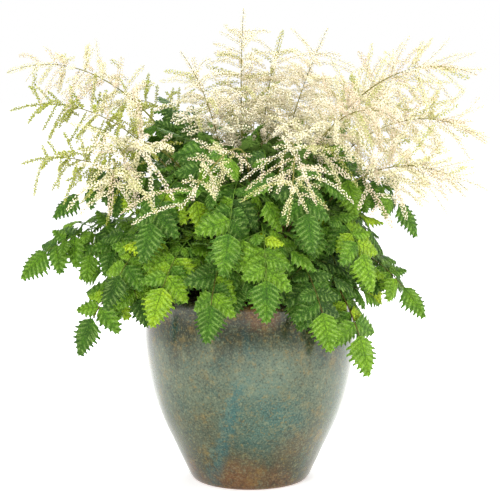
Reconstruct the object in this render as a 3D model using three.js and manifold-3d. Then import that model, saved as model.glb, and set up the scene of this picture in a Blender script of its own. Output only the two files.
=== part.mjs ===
// Goatsbeard in a glazed pot, in millimetres: +Z up, -Y to the front, origin at the centre of the foot.
// The pot holds soil, and each leaf and each flower stem stands in a hole of its own in that soil. Leaves
// and spikes of florets are grown one after another, and whatever would touch an earlier one is bent clear.
import * as THREE from "three";
import { mergeVertices } from "three/addons/utils/BufferGeometryUtils.js";
import Module from "manifold-3d";

const wasm = await Module();
wasm.setup();

// Pot: [radius, height] up the outside, over the lip and down the inside.
const POT_SIDES = 25;
const POT_OUTSIDE = [
  [104, 0],
  [131, 58],
  [161, 124],
  [179, 190],
  [186, 250],
  [183, 304],
  [187, 324],
  [182, 336],
];
const POT_INSIDE = [
  [172, 334],
  [169, 304],
  [172, 240],
  [148, 124],
  [98, 22],
];
const POT_TOP = POT_OUTSIDE.at(-1)[1];
const POT_CLEARANCE = 4;
const DRAIN = { count: 3, radius: 9, fromAxis: 50, sides: 6 };

// Soil: it fills the pot to a low dome, and every stalk stands this deep in it.
const SEAT_GAP = 0.4;
const SOIL_HEIGHT = 302;
const ROOT_HEIGHT = 288;
const HOLE_GAP = 0.8;

// Seats: every stalk takes the free one nearest to where it would stand, of these in a sunflower pattern.
const SEATS = { count: 64, spacing: 9 };
const GOLDEN_ANGLE = 137.508;

// Leaves: where the rachis ends (x, y, z), how high it arches, and how large its leaflets are.
const LEAVES = [
  { end: [-348, -78, 412], peak: 452, size: 0.95 },
  { end: [-264, -134, 306], peak: 410, size: 1.0 },
  { end: [-214, -186, 386], peak: 456, size: 0.92 },
  { end: [-288, -108, 512], peak: 540, size: 0.85 },
  { end: [-158, -214, 476], peak: 544, size: 1.0 },
  { end: [-140, -240, 374], peak: 450, size: 0.98 },
  { end: [-62, -272, 350], peak: 432, size: 0.92 },
  { end: [-34, -246, 462], peak: 534, size: 1.08 },
  { end: [26, -286, 392], peak: 470, size: 1.0 },
  { end: [116, -248, 334], peak: 420, size: 0.95 },
  { end: [180, -184, 286], peak: 400, size: 1.02 },
  { end: [262, -92, 352], peak: 414, size: 0.92 },
  { end: [186, -166, 420], peak: 486, size: 0.98 },
  { end: [256, -46, 492], peak: 532, size: 0.98 },
  { end: [92, -218, 492], peak: 560, size: 1.0 },
  { end: [-86, -176, 540], peak: 588, size: 1.0 },
  { end: [30, -150, 536], peak: 576, size: 0.95 },
  { end: [-180, -76, 592], peak: 616, size: 0.95 },
  { end: [24, -44, 572], peak: 596, size: 0.95 },
  { end: [164, -92, 536], peak: 580, size: 1.0 },
  { end: [-286, 92, 404], peak: 464, size: 1.1 },
  { end: [-192, 206, 362], peak: 438, size: 1.15 },
  { end: [-52, 262, 384], peak: 458, size: 1.2 },
  { end: [104, 252, 354], peak: 432, size: 1.15 },
  { end: [240, 150, 398], peak: 462, size: 1.15 },
  { end: [-130, 140, 540], peak: 588, size: 1.15 },
  { end: [6, 214, 492], peak: 556, size: 1.15 },
  { end: [136, 130, 520], peak: 568, size: 1.1 },
];
const LEAF_SEED = 11;
const LEAF_ROOT_RADIUS = { low: 72, high: 40 };
const LEAF_TIP_HEIGHT = { low: 280, high: 640 };
const RACHIS = { halfWidth: 1.7, halfThick: 1.3, petioleSteps: 4, rootAlong: 0.1, crestAlong: 0.64 };
const ROLL = { toFront: 30, jitter: 12 };
// Back from the end of the rachis: two pairs of leaflets, then a pair of pinnae with three leaflets each.
const END_LENGTH = 70;
const PAIRS = [
  { back: 22, length: 58, angle: 60 },
  { back: 58, length: 62, angle: 64 },
];
const PINNA = {
  back: 100,
  length: 56,
  angle: 64,
  endLength: 54,
  pairBack: 18,
  pairLength: 46,
  pairAngle: 64,
};
const THROAT = 5;
const BASE_OPEN = 6;
const DROOP = { end: 4, pair: 24, pinna: 16, pinnaPair: 14, pinnaEnd: 8 };
const DROOP_TRIES = [0, 12, -12, 24, -24, 36, -36, 50];
const SIZE_TRIES = [1, 0.8, 0.62];

// Leaflet margin: [along the midrib, out from it, thickness], as shares. Teeth are sharp and notches thick.
const SIDE_MARGIN = [
  [0.24, 0.34, 0],
  [0.42, 0.28, 1],
  [0.62, 0.32, 0],
];
const END_MARGIN = [
  [0.2, 0.35, 0],
  [0.4, 0.28, 1],
  [0.56, 0.34, 0],
  [0.74, 0.19, 1],
];
const BLADE = { halfThick: 0.7, fold: 0.22, arch: 0.14 };

// Flower stems: a cubic curve from the soil through two leading points to the plume's tip. `from` is the
// share of its length where the florets begin, and `longest` the length of the lowest spike.
const PLUMES = [
  { lead: [[-16, 8, 520], [-20, 12, 700]], tip: [-11, 0, 826], from: 0.62, longest: 82 },
  { lead: [[-50, -20, 560], [-236, -62, 790]], tip: [-412, -62, 716], from: 0.64, longest: 88 },
  { lead: [[-56, -70, 560], [-232, -150, 726]], tip: [-226, -212, 486], from: 0.66, longest: 104 },
  { lead: [[0, -90, 600], [18, -246, 680]], tip: [-112, -268, 500], from: 0.74, longest: 56 },
  { lead: [[34, -90, 590], [96, -246, 720]], tip: [58, -292, 478], from: 0.7, longest: 92 },
  { lead: [[-30, -22, 540], [-62, -66, 680]], tip: [-118, -64, 752], from: 0.55, longest: 102 },
  { lead: [[12, 24, 520], [20, 44, 680]], tip: [58, 34, 790], from: 0.58, longest: 106 },
  { lead: [[30, 4, 520], [84, 4, 690]], tip: [134, -14, 792], from: 0.56, longest: 108 },
  { lead: [[44, -12, 540], [196, -42, 790]], tip: [384, -70, 712], from: 0.6, longest: 98 },
  { lead: [[50, 14, 500], [236, 26, 730]], tip: [412, -20, 596], from: 0.56, longest: 96 },
  { lead: [[56, -46, 480], [236, -120, 640]], tip: [364, -126, 520], from: 0.6, longest: 96 },
  { lead: [[42, -54, 540], [150, -120, 720]], tip: [250, -140, 632], from: 0.6, longest: 100 },
  { lead: [[44, 66, 520], [160, 190, 750]], tip: [290, 226, 668], from: 0.6, longest: 94 },
];
const BUDDING_PLUMES = [
  { lead: [[-44, 56, 540], [-166, 190, 740]], tip: [-270, 240, 636], from: 0.6, longest: 94 },
  { lead: [[-54, -44, 500], [-226, -84, 716]], tip: [-404, -92, 652], from: 0.56, longest: 78 },
  { lead: [[-64, -62, 450], [-236, -130, 620]], tip: [-378, -144, 566], from: 0.62, longest: 62 },
  { lead: [[2, 76, 540], [10, 210, 740]], tip: [16, 322, 640], from: 0.6, longest: 88 },
];
const PLUME_SEED = 74;
const STEM = { rootRadius: 2.3, topRadius: 1.7, steps: 6, rootLean: 0.075 };
// Shares of the plume's length: pairs of spikes, each pair across the last, then florets on the axis itself
const PLUME_NODES = [0.04, 0.16, 0.29, 0.43, 0.58];
const PLUME_END = [0.7, 0.86];
const PLUME_AXIS = { startRadius: 1.7, endRadius: 1.2, throat: 4 };
const SPIKE = {
  rise: 76,
  sag: 0.16,
  shortest: 0.5,
  openRings: [0.15, 0.38, 0.62, 0.86],
  budRings: [0.2, 0.5, 0.84],
};
const FLORET_REACH = { open: 5.4, bud: 3.2 };
const TURN_TRIES = [0, 18, -18, 34, -34];
const RISE_TRIES = [0, 16, -16, 30];
const LENGTH_TRIES = [1, 0.75, 0.5];

// Stalks that would touch an earlier one lean over by one of these instead.
const SWAY_TRIES = [0, 12, -12, 24, -24, 36, -36, 50, -50];

const COLOURS = {
  pot: { color: 0x6f7a68, roughness: 0.25, metalness: 0 },
  soil: { color: 0x3a2a1e, roughness: 1, metalness: 0 },
  leaf: { color: 0x4f7d2a, roughness: 0.6, metalness: 0 },
  stem: { color: 0x8a8a3c, roughness: 0.6, metalness: 0 },
  floret: { color: 0xefe6cf, roughness: 0.8, metalness: 0 },
  bud: { color: 0xb2b85e, roughness: 0.7, metalness: 0 },
};

// Vectors, as arrays of three numbers
const add = (a, b) => [a[0] + b[0], a[1] + b[1], a[2] + b[2]];
const sub = (a, b) => [a[0] - b[0], a[1] - b[1], a[2] - b[2]];
const scaled = (a, k) => [a[0] * k, a[1] * k, a[2] * k];
const dot = (a, b) => a[0] * b[0] + a[1] * b[1] + a[2] * b[2];
const cross = (a, b) => [a[1] * b[2] - a[2] * b[1], a[2] * b[0] - a[0] * b[2], a[0] * b[1] - a[1] * b[0]];
const length = (a) => Math.sqrt(dot(a, a));
const unit = (a) => scaled(a, 1 / length(a));
const mix = (a, b, t) => add(scaled(a, 1 - t), scaled(b, t));
const turned = (a, b, degrees) => {
  const angle = THREE.MathUtils.degToRad(degrees);
  return add(scaled(a, Math.cos(angle)), scaled(b, Math.sin(angle)));
};

// A seeded stream of numbers from 0 to 1
function seeded(seed) {
  let state = seed;
  return () => {
    state = (state * 1664525 + 1013904223) % 4294967296;
    return state / 4294967296;
  };
}

// A cubic curve traced into short chords, so that a point can be found by its distance along it
const CHORDS = 32;
function traced(p0, p1, p2, p3) {
  const at = (t) =>
    add(
      add(scaled(p0, (1 - t) ** 3), scaled(p1, 3 * t * (1 - t) ** 2)),
      add(scaled(p2, 3 * t * t * (1 - t)), scaled(p3, t ** 3)),
    );
  const slope = (t) =>
    add(
      add(scaled(sub(p1, p0), (1 - t) ** 2), scaled(sub(p2, p1), 2 * t * (1 - t))),
      scaled(sub(p3, p2), t * t),
    );
  const reached = [0];
  for (let i = 1; i <= CHORDS; i++)
    reached.push(reached[i - 1] + length(sub(at(i / CHORDS), at((i - 1) / CHORDS))));
  const total = reached[CHORDS];
  const where = (distance) => {
    let i = 1;
    while (i < CHORDS && reached[i] < distance) i++;
    const t = (i - 1 + (distance - reached[i - 1]) / (reached[i] - reached[i - 1])) / CHORDS;
    return { point: at(t), tangent: unit(slope(t)) };
  };
  return { total, where };
}

// What has grown so far, as parts: edges with a radius, faces, and struts through the faces, which show when
// two blades lie almost against each other.
const grown = [];
const CLEARANCE = 1.6;

function segmentGap(p, q, r, s) {
  const d1 = sub(q, p);
  const d2 = sub(s, r);
  const gap = sub(p, r);
  const a = dot(d1, d1);
  const e = dot(d2, d2);
  const b = dot(d1, d2);
  const c = dot(d1, gap);
  const f = dot(d2, gap);
  const bend = a * e - b * b;
  const clamp = (x) => Math.min(1, Math.max(0, x));
  let t1 = bend > 1e-9 ? clamp((b * f - c * e) / bend) : 0;
  const t2 = clamp((b * t1 + f) / e);
  t1 = clamp((b * t2 - c) / a);
  return length(sub(add(p, scaled(d1, t1)), add(r, scaled(d2, t2))));
}

function pierces(p, q, [a, b, c]) {
  const ray = sub(q, p);
  const ab = sub(b, a);
  const ac = sub(c, a);
  const across = cross(ray, ac);
  const scale = dot(ab, across);
  if (Math.abs(scale) < 1e-9) return false;
  const start = sub(p, a);
  const u = dot(start, across) / scale;
  const turn = cross(start, ab);
  const v = dot(ray, turn) / scale;
  const t = dot(ac, turn) / scale;
  return u >= 0 && v >= 0 && u + v <= 1 && t >= 0 && t <= 1;
}

function partOf({ edges, faces = [], struts = [], radius, owner = null }) {
  const points = edges.flat();
  const centre = scaled(points.reduce(add), 1 / points.length);
  const reach = Math.max(...points.map((p) => length(sub(p, centre)))) + radius;
  return { edges, faces, struts, radius, owner, centre, reach };
}

function touch(one, other) {
  if (length(sub(one.centre, other.centre)) > one.reach + other.reach + CLEARANCE) return false;
  const near = one.radius + other.radius + CLEARANCE;
  if (one.edges.some(([p, q]) => other.edges.some(([r, s]) => segmentGap(p, q, r, s) < near))) return true;
  const cuts = (a, b) =>
    [...a.edges, ...a.struts].some(([p, q]) => b.faces.some((face) => pierces(p, q, face)));
  return cuts(one, other) || cuts(other, one);
}

// Whether a point is in the pot's wall, or in the soil at the foot of other stalks
function inPot([x, y, z]) {
  const r = Math.hypot(x, y);
  if (z > POT_TOP + POT_CLEARANCE || r > potRadius(z - POT_CLEARANCE) + POT_CLEARANCE) return false;
  return r > POT_INSIDE[1][0] - POT_CLEARANCE || z < SOIL_HEIGHT + POT_CLEARANCE;
}

function potRadius(height) {
  const above = POT_OUTSIDE.findIndex(([, z]) => z >= height);
  if (above < 1) return above < 0 ? 0 : POT_OUTSIDE[0][0];
  const [[r0, z0], [r1, z1]] = POT_OUTSIDE.slice(above - 1, above + 1);
  return r0 + ((r1 - r0) * (height - z0)) / (z1 - z0);
}

const along = ([p, q], steps) => Array.from({ length: steps + 1 }, (_, i) => mix(p, q, i / steps));
const isClear = (part) =>
  !part.edges.some((edge) => along(edge, 2).some(inPot)) &&
  !grown.some((other) => (part.owner === null || part.owner !== other.owner) && touch(part, other));

// Seats that are left, and the one nearest to a point
const seats = Array.from({ length: SEATS.count }, (_, i) => {
  const angle = THREE.MathUtils.degToRad(GOLDEN_ANGLE * i);
  const radius = SEATS.spacing * Math.sqrt(i + 0.5);
  return [radius * Math.cos(angle), radius * Math.sin(angle), ROOT_HEIGHT];
});
function takeSeat(wanted) {
  const apart = seats.map((seat) => Math.hypot(seat[0] - wanted[0], seat[1] - wanted[1]));
  return seats.splice(apart.indexOf(Math.min(...apart)), 1)[0];
}

// Grows a stalk: the curve leans aside until its lengths between places are clear. The last may be stouter.
function growStalk(radius, curveAt, placesOf, owner = null, stout = { lengths: 0 }) {
  for (const sway of [...SWAY_TRIES, 0]) {
    const curve = curveAt(sway);
    const points = placesOf(curve).map(({ point }) => point);
    const lengths = points.slice(1).map((point, i) => [points[i], point]);
    const parts = lengths.map((edge, i) =>
      partOf({ edges: [edge], radius: i < lengths.length - stout.lengths ? radius : stout.radius, owner }),
    );
    const samples = lengths.flatMap((edge) => along(edge, 8));
    const overRim = samples.filter(([, , z]) => z > SOIL_HEIGHT + POT_CLEARANCE);
    const free = parts.every((part) => !grown.some((other) => touch(part, other)));
    if (free && !overRim.some(inPot)) {
      grown.push(...parts);
      return curve;
    }
  }
  throw new Error("no way up for a stalk");
}

// The curve of a leaf's stalk and rachis: up from the soil, over its arch and down to its end
function rachisCurve({ end, peak }, seat, sway) {
  const crest = (peak - 0.125 * (seat[2] + end[2])) / 0.75;
  const aside = scaled(unit([end[1], -end[0], 0]), sway);
  const across = (share) => add(aside, [...mix(seat, end, share).slice(0, 2), crest]);
  return traced(seat, across(RACHIS.rootAlong), across(RACHIS.crestAlong), end);
}

// How far back from its end the rachis has each pair of vertices, in shares of the leaf's size
function rachisBacks(total, size) {
  const bladeStart = PINNA.back + THROAT / 2;
  const petiole = total / size - bladeStart;
  const backs = [];
  for (let i = 0; i < RACHIS.petioleSteps; i++)
    backs.push(bladeStart + petiole * (1 - i / RACHIS.petioleSteps));
  for (const back of [PINNA.back, ...PAIRS.map((pair) => pair.back).reverse()])
    backs.push(back + THROAT / 2, back - THROAT / 2);
  return [...backs, 0];
}

function startLeaf(leaf, index) {
  const random = seeded(LEAF_SEED + index);
  const jitter = (range) => (2 * random() - 1) * range;
  const { low, high } = LEAF_TIP_HEIGHT;
  const height = Math.min(1, Math.max(0, (leaf.end[2] - low) / (high - low)));
  const rootRadius = LEAF_ROOT_RADIUS.low + (LEAF_ROOT_RADIUS.high - LEAF_ROOT_RADIUS.low) * height;
  const seat = takeSeat(scaled(unit([leaf.end[0], leaf.end[1], 0]), rootRadius));
  const backsOf = (curve) => rachisBacks(curve.total, leaf.size);
  const placesOf = (curve) => backsOf(curve).map((back) => curve.where(curve.total - back * leaf.size));
  const curve = growStalk(RACHIS.halfWidth, (sway) => rachisCurve(leaf, seat, sway), placesOf);
  const roll = ROLL.toFront * (leaf.end[0] / Math.hypot(leaf.end[0], leaf.end[1])) + jitter(ROLL.jitter);
  const at = (back) => {
    const { point, tangent } = curve.where(curve.total - back * leaf.size);
    const level = unit(sub([0, 0, 1], scaled(tangent, tangent[2])));
    return { point, tangent, normal: turned(level, cross(tangent, level), roll) };
  };
  return { ...leaf, jitter, at, backs: backsOf(curve) };
}

// The stalk of a pinna, on one side of the rachis, drooped until it is clear
function growPinna(leaf, side) {
  const from = leaf.at(PINNA.back);
  const left = scaled(cross(from.normal, from.tangent), side);
  const flat = turned(from.tangent, left, PINNA.angle + leaf.jitter(4));
  const droop = DROOP.pinna + leaf.jitter(6);
  for (const extra of DROOP_TRIES) {
    const tangent = turned(flat, scaled(from.normal, -1), droop + extra);
    const normal = turned(from.normal, flat, droop + extra);
    const pointAt = (distance) => add(from.point, scaled(tangent, distance * leaf.size));
    const at = (distance) => ({ point: pointAt(distance), tangent, normal });
    const part = partOf({ edges: [[pointAt(12), pointAt(PINNA.length)]], radius: RACHIS.halfWidth });
    if (isClear(part)) {
      grown.push(part);
      return { side, at };
    }
  }
  return null;
}

// A leaflet's margin in space, and the leaflet as a part: its base is left open where it joins the stalk.
function leafletAt(root, direction, normal, size, margin) {
  const right = cross(direction, normal);
  const spot = (forward, out) =>
    add(
      add(add(root, scaled(direction, forward * size)), scaled(right, out * size)),
      scaled(normal, -(BLADE.fold * Math.abs(out) + BLADE.arch * forward * forward) * size),
    );
  const rightSide = margin.map(([forward, out, thick]) => ({ point: spot(forward, out), thick }));
  const leftSide = margin.map(([forward, out, thick]) => ({ point: spot(forward, -out), thick })).reverse();
  const outline = [...rightSide, { point: spot(1, 0), thick: 0 }, ...leftSide];
  const ring = outline.map((v) => v.point);
  const middle = spot(0.5, 0);
  const base = spot(BASE_OPEN / size, 0);
  const strut = (p) => [add(p, scaled(normal, 1.8)), add(p, scaled(normal, -1.8))];
  const sides = ring.map((p, i) => [p, ring[(i + 1) % ring.length]]);
  const part = partOf({
    edges: [...sides, [base, spot(1, 0)], [base, ring[0]], [base, ring.at(-1)]],
    faces: [...sides.map((side) => [middle, ...side]), [base, ring[0], ring.at(-1)]],
    struts: [...ring, middle, spot(0.25, 0), spot(0.75, 0)].map(strut),
    radius: BLADE.halfThick,
  });
  return { normal, outline, part };
}

// Grows a leaflet from a place on its stalk, drooping it more or less, and then smaller, until it is clear.
function growLeaflet({ point, tangent, normal }, side, size, angle, droop, margin, jitter) {
  const left = cross(normal, tangent);
  const flat = side === 0 ? tangent : turned(tangent, scaled(left, side), angle + jitter(5));
  const lean = droop + jitter(9);
  const twist = jitter(12) + 9 * side;
  for (const share of SIZE_TRIES)
    for (const extra of DROOP_TRIES) {
      const direction = turned(flat, scaled(normal, -1), lean + extra);
      const lifted = turned(normal, flat, lean + extra);
      const facing = turned(lifted, cross(direction, lifted), twist);
      const leaflet = leafletAt(point, direction, facing, size * share, margin);
      if (isClear(leaflet.part)) {
        grown.push(leaflet.part);
        return leaflet;
      }
    }
  return null;
}

const growEnd = ({ at, size, jitter }) =>
  growLeaflet(at(0), 0, END_LENGTH * size, 0, DROOP.end, END_MARGIN, jitter);
const growPairs = ({ at, size, jitter }) =>
  PAIRS.flatMap(({ back, length: long, angle }) =>
    [1, -1].map((side) => ({
      back,
      side,
      leaflet: growLeaflet(at(back), side, long * size, angle, DROOP.pair, SIDE_MARGIN, jitter),
    })),
  );
const growPinnaEnd = ({ size, jitter }, pinna) =>
  growLeaflet(pinna.at(PINNA.length), 0, PINNA.endLength * size, 0, DROOP.pinnaEnd, SIDE_MARGIN, jitter);
const growPinnaPair = ({ size, jitter }, pinna) =>
  [1, -1].map((side) => {
    const place = pinna.at(PINNA.length - PINNA.pairBack);
    const { pairLength, pairAngle } = PINNA;
    return growLeaflet(place, side, pairLength * size, pairAngle, DROOP.pinnaPair, SIDE_MARGIN, jitter);
  });

// A thin solid built as one sheet of triangles with a normal and a half thickness at each vertex. A vertex
// with no thickness is a sharp point, shared by both faces, and walls close every edge used once.
class Sheet {
  constructor() {
    this.points = [];
    this.upper = [];
    this.lower = [];
    this.faces = [];
  }
  vertex(point, normal, half) {
    this.upper.push(this.points.push(add(point, scaled(normal, half))) - 1);
    this.lower.push(half ? this.points.push(sub(point, scaled(normal, half))) - 1 : this.upper.at(-1));
    return this.upper.length - 1;
  }
  polygon(triangles) {
    this.faces.push(...triangles);
  }
  solid() {
    const used = new Set(this.faces.flatMap(([a, b, c]) => [`${a},${b}`, `${b},${c}`, `${c},${a}`]));
    const triangles = this.faces.flatMap(([a, b, c]) => [
      [this.upper[a], this.upper[b], this.upper[c]],
      [this.lower[c], this.lower[b], this.lower[a]],
    ]);
    for (const key of used) {
      const [a, b] = key.split(",").map(Number);
      if (used.has(`${b},${a}`)) continue;
      triangles.push([this.upper[b], this.upper[a], this.lower[a]]);
      triangles.push([this.upper[b], this.lower[a], this.lower[b]]);
    }
    return solidOf(this.points, triangles.filter(([a, b, c]) => a !== b && b !== c && c !== a));
  }
}

function solidOf(points, triangles) {
  const mesh = new wasm.Mesh({
    numProp: 3,
    vertProperties: new Float32Array(points.flat()),
    triVerts: new Uint32Array(triangles.flat()),
  });
  return new wasm.Manifold(mesh);
}

// Adds a leaflet's blade between the two stalk vertices at its root, or nothing where none grew there.
function addBlade(sheet, { right, left }, leaflet) {
  if (!leaflet) return;
  const v = leaflet.outline.map(({ point, thick }) =>
    sheet.vertex(point, leaflet.normal, thick * BLADE.halfThick),
  );
  const tip = (v.length - 1) / 2;
  const last = v.length - 1;
  const faces = [[right, v[0], v[1]], [v[last - 1], v[last], left]];
  if (v.length === 9)
    faces.push([v[1], v[2], v[3]], [right, v[1], v[3]], [v[5], v[6], v[7]], [v[5], v[7], left]);
  else faces.push([v[1], v[2], v[tip]], [v[tip], v[tip + 1], v[last - 1]]);
  const [before, after] = v.length === 9 ? [v[3], v[5]] : [v[1], v[5]];
  faces.push([right, before, v[tip]], [right, v[tip], left], [left, v[tip], after]);
  sheet.polygon(faces);
}

// Adds a length of flat stalk from the pair of vertices `from` through the places, and returns each pair.
function addStalk(sheet, from, places, halfWidth, halfThick) {
  const pairs = from ? [from] : [];
  for (const { point, tangent, normal } of places) {
    const left = scaled(cross(normal, tangent), halfWidth);
    pairs.push({
      left: sheet.vertex(add(point, left), normal, halfThick),
      right: sheet.vertex(sub(point, left), normal, halfThick),
    });
  }
  for (let i = 1; i < pairs.length; i++) {
    const [a, b] = [pairs[i - 1], pairs[i]];
    sheet.polygon([[a.left, a.right, b.right], [a.left, b.right, b.left]]);
  }
  return pairs;
}

function leafSolid({ at, backs, end, pairs, pinnae }) {
  const sheet = new Sheet();
  const rings = addStalk(sheet, null, backs.map(at), RACHIS.halfWidth, RACHIS.halfThick);
  // The vertices at one side of the stalk between which a side shoot grows, this far back
  const rootAt = (back, side) => {
    const i = backs.indexOf(back + THROAT / 2);
    const [near, far] = [rings[i], rings[i + 1]];
    return side > 0 ? { right: far.left, left: near.left } : { right: near.right, left: far.right };
  };
  for (const { back, side, leaflet } of pairs) addBlade(sheet, rootAt(back, side), leaflet);
  for (const pinna of pinnae) {
    const throat = PINNA.length - PINNA.pairBack;
    const places = [throat - THROAT / 2, throat + THROAT / 2, PINNA.length].map(pinna.at);
    const root = rootAt(PINNA.back, pinna.side);
    const [, near, far, tip] = addStalk(sheet, root, places, RACHIS.halfWidth * 0.8, RACHIS.halfThick * 0.8);
    addBlade(sheet, { right: far.left, left: near.left }, pinna.pair[0]);
    addBlade(sheet, { right: near.right, left: far.right }, pinna.pair[1]);
    addBlade(sheet, tip, pinna.end);
  }
  addBlade(sheet, rings.at(-1), end);
  return sheet.solid();
}

// Carries a side and an up direction along a stem, without a twist.
function framed(places) {
  let side = [0, 1, 0];
  return places.map(({ point, tangent }) => {
    side = unit(sub(side, scaled(tangent, dot(side, tangent))));
    return { point, tangent, side, up: cross(tangent, side) };
  });
}

const corner = ({ point, side, up }, radius, degrees) =>
  add(point, scaled(turned(side, up, degrees), radius));

// A skin of triangles, grown ring by ring from a first ring, and closed by a face or a point
class Skin {
  constructor() {
    this.points = [];
    this.triangles = [];
  }
  ring(place, sides, radius, turn) {
    const corners = Array.from({ length: sides }, (_, k) => corner(place, radius, turn + (360 * k) / sides));
    return corners.map((point) => this.points.push(point) - 1);
  }
  band(lower, upper, open = []) {
    lower.forEach((a, k) => {
      const [b, c, d] = [lower[(k + 1) % lower.length], upper[k], upper[(k + 1) % lower.length]];
      if (!open.includes(k)) this.triangles.push([a, b, d], [a, d, c]);
    });
  }
  // Joins rings turned half a side from each other
  zigzag(lower, upper) {
    lower.forEach((a, k) => {
      const [b, c, d] = [lower[(k + 1) % lower.length], upper[k], upper[(k + 1) % lower.length]];
      this.triangles.push([a, b, c], [b, d, c]);
    });
  }
  face(ring) {
    for (let k = 2; k < ring.length; k++) this.triangles.push([ring[0], ring[k - 1], ring[k]]);
  }
  tip(ring, point) {
    const top = this.points.push(point) - 1;
    ring.forEach((a, k) => this.triangles.push([a, ring[(k + 1) % ring.length], top]));
  }
  solid() {
    return solidOf(this.points, this.triangles);
  }
}

// Places of a flower stem's rings, and of its plume's: a pair of rings for each pair of spikes, then florets
function startFlower(flower, index) {
  const random = seeded(PLUME_SEED + index);
  const jitter = (range) => (2 * random() - 1) * range;
  const { lead, tip, from } = flower;
  const seat = takeSeat(scaled(tip, STEM.rootLean));
  const aside = (sway) => scaled(unit([tip[1], -tip[0], 0]), sway);
  const curveAt = (sway) => traced(seat, add(lead[0], aside(sway)), add(lead[1], aside(sway)), tip);
  const placesOf = (curve) => {
    const stem = Array.from({ length: STEM.steps + 1 }, (_, i) => (curve.total * from * i) / STEM.steps);
    return [...stem, ...plumeDistances(curve, from), curve.total].map(curve.where);
  };
  const florets = { lengths: PLUME_END.length + 1, radius: FLORET_REACH.open };
  const curve = growStalk(STEM.rootRadius, curveAt, placesOf, `flower ${index}`, florets);
  const places = framed(placesOf(curve));
  return { ...flower, index, jitter, stem: places.slice(0, STEM.steps + 1), axis: places.slice(STEM.steps) };
}

function plumeDistances(curve, from) {
  const at = (share) => curve.total * (from + (1 - from) * share);
  const throat = PLUME_AXIS.throat / 2;
  return [...PLUME_NODES.flatMap((share) => [at(share) - throat, at(share) + throat]), ...PLUME_END.map(at)];
}

// Grows pairs of spikes from the sides of the axis, each turned, raised or shortened until it is clear.
function growSpikes(flower) {
  const { axis, jitter, longest, index } = flower;
  const rings = index < PLUMES.length ? SPIKE.openRings : SPIKE.budRings;
  return PLUME_NODES.flatMap((share, node) =>
    [0, 2].map((face) => {
      const [near, far] = [axis[1 + 2 * node], axis[2 + 2 * node]];
      const side = face + (node % 2);
      const size = longest * (1 - (1 - SPIKE.shortest) * share) * (1 + jitter(0.14));
      const [turn, rise] = [jitter(12), SPIKE.rise + jitter(9)];
      return { node, side, spike: growSpike(near, far, side, size, turn, rise, rings, `flower ${index}`) };
    }),
  );
}

function growSpike(near, far, side, size, turn, rise, rings, owner) {
  const root = mix(near.point, far.point, 0.5);
  for (const share of LENGTH_TRIES)
    for (const extraRise of RISE_TRIES)
      for (const extraTurn of TURN_TRIES) {
        const outward = turned(near.side, near.up, 45 + 90 * side + turn + extraTurn);
        const heading = turned(near.tangent, outward, rise + extraRise);
        const reach = size * share;
        const middle = add(root, scaled(heading, reach * 0.5));
        const end = add(add(root, scaled(heading, reach)), [0, 0, -SPIKE.sag * reach]);
        const at = (t) => mix(mix(root, middle, t), mix(middle, end, t), t);
        const edges = [[root, at(0.35)], [at(0.35), at(0.7)], [at(0.7), end]];
        const part = partOf({ edges, radius: FLORET_REACH.open, owner });
        if (isClear(part)) {
          grown.push(part);
          const slope = (t) => unit(mix(sub(middle, root), sub(end, middle), t));
          const ahead = (t) => ({ point: at(t), tangent: slope(t) });
          return { places: rings.map(ahead), tip: end };
        }
      }
  return null;
}

// Florets stand out at the corners of three-sided rings, each turned half way from the last. The first ring
// starts at the corner nearest to the root's first.
function addSpike(skin, root, { places, tip }, reach) {
  let side = sub(skin.points[root[0]], places[0].point);
  let lower = null;
  places.forEach(({ point, tangent }, i) => {
    side = unit(sub(side, scaled(tangent, dot(side, tangent))));
    const frame = { point, side, up: cross(tangent, side) };
    const ring = skin.ring(frame, 3, reach * (1.1 - 0.1 * i), 60 * (i % 2));
    if (lower === null) {
      const [a, b, c, d] = root;
      const [e, f, g] = ring;
      skin.triangles.push([a, b, e], [b, f, e], [b, c, f], [c, g, f], [c, d, g], [d, e, g], [d, a, e]);
    } else if (i % 2) skin.zigzag(lower, ring);
    else skin.zigzag([lower[2], lower[0], lower[1]], ring);
    lower = ring;
  });
  skin.tip(lower, tip);
}

// The plume's rings on from its first, with its spikes and its own florets
function addPlume(skin, first, { axis, spikes, tip }, reach) {
  const { startRadius, endRadius } = PLUME_AXIS;
  const count = axis.length - 1;
  const rings = [first];
  for (let i = 1; i <= 2 * PLUME_NODES.length; i++)
    rings.push(skin.ring(axis[i], 4, startRadius + ((endRadius - startRadius) * i) / count, 0));
  for (let i = 1; i < rings.length; i++) {
    const grownHere = spikes.filter(({ node, spike }) => spike && i === 2 * node + 2);
    skin.band(rings[i - 1], rings[i], grownHere.map(({ side }) => side));
    for (const { side, spike } of grownHere) {
      const [a, b] = [rings[i - 1][side], rings[i - 1][(side + 1) % 4]];
      const [c, d] = [rings[i][side], rings[i][(side + 1) % 4]];
      addSpike(skin, [a, b, d, c], spike, reach);
    }
  }
  let lower = rings.at(-1);
  for (let i = 0; i < PLUME_END.length; i++) {
    const ring = skin.ring(axis[i + rings.length], 4, reach * (1 - 0.18 * i), 45 * ((i + 1) % 2));
    if (i % 2) skin.zigzag([...lower.slice(-1), ...lower.slice(0, -1)], ring);
    else skin.zigzag(lower, ring);
    lower = ring;
  }
  skin.tip(lower, tip);
}

function addStem(skin, places) {
  const { rootRadius, topRadius } = STEM;
  const rings = places.map((place, i) =>
    skin.ring(place, 4, rootRadius + ((topRadius - rootRadius) * i) / (places.length - 1), 0),
  );
  skin.face([...rings[0]].reverse());
  for (let i = 1; i < rings.length; i++) skin.band(rings[i - 1], rings[i]);
  return rings.at(-1);
}

const shifted = (place, distance) => ({ ...place, point: add(place.point, scaled(place.tangent, distance)) });

function stemSolid({ stem }) {
  const skin = new Skin();
  skin.face(addStem(skin, [...stem.slice(0, -1), shifted(stem.at(-1), -SEAT_GAP)]));
  return skin.solid();
}

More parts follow.
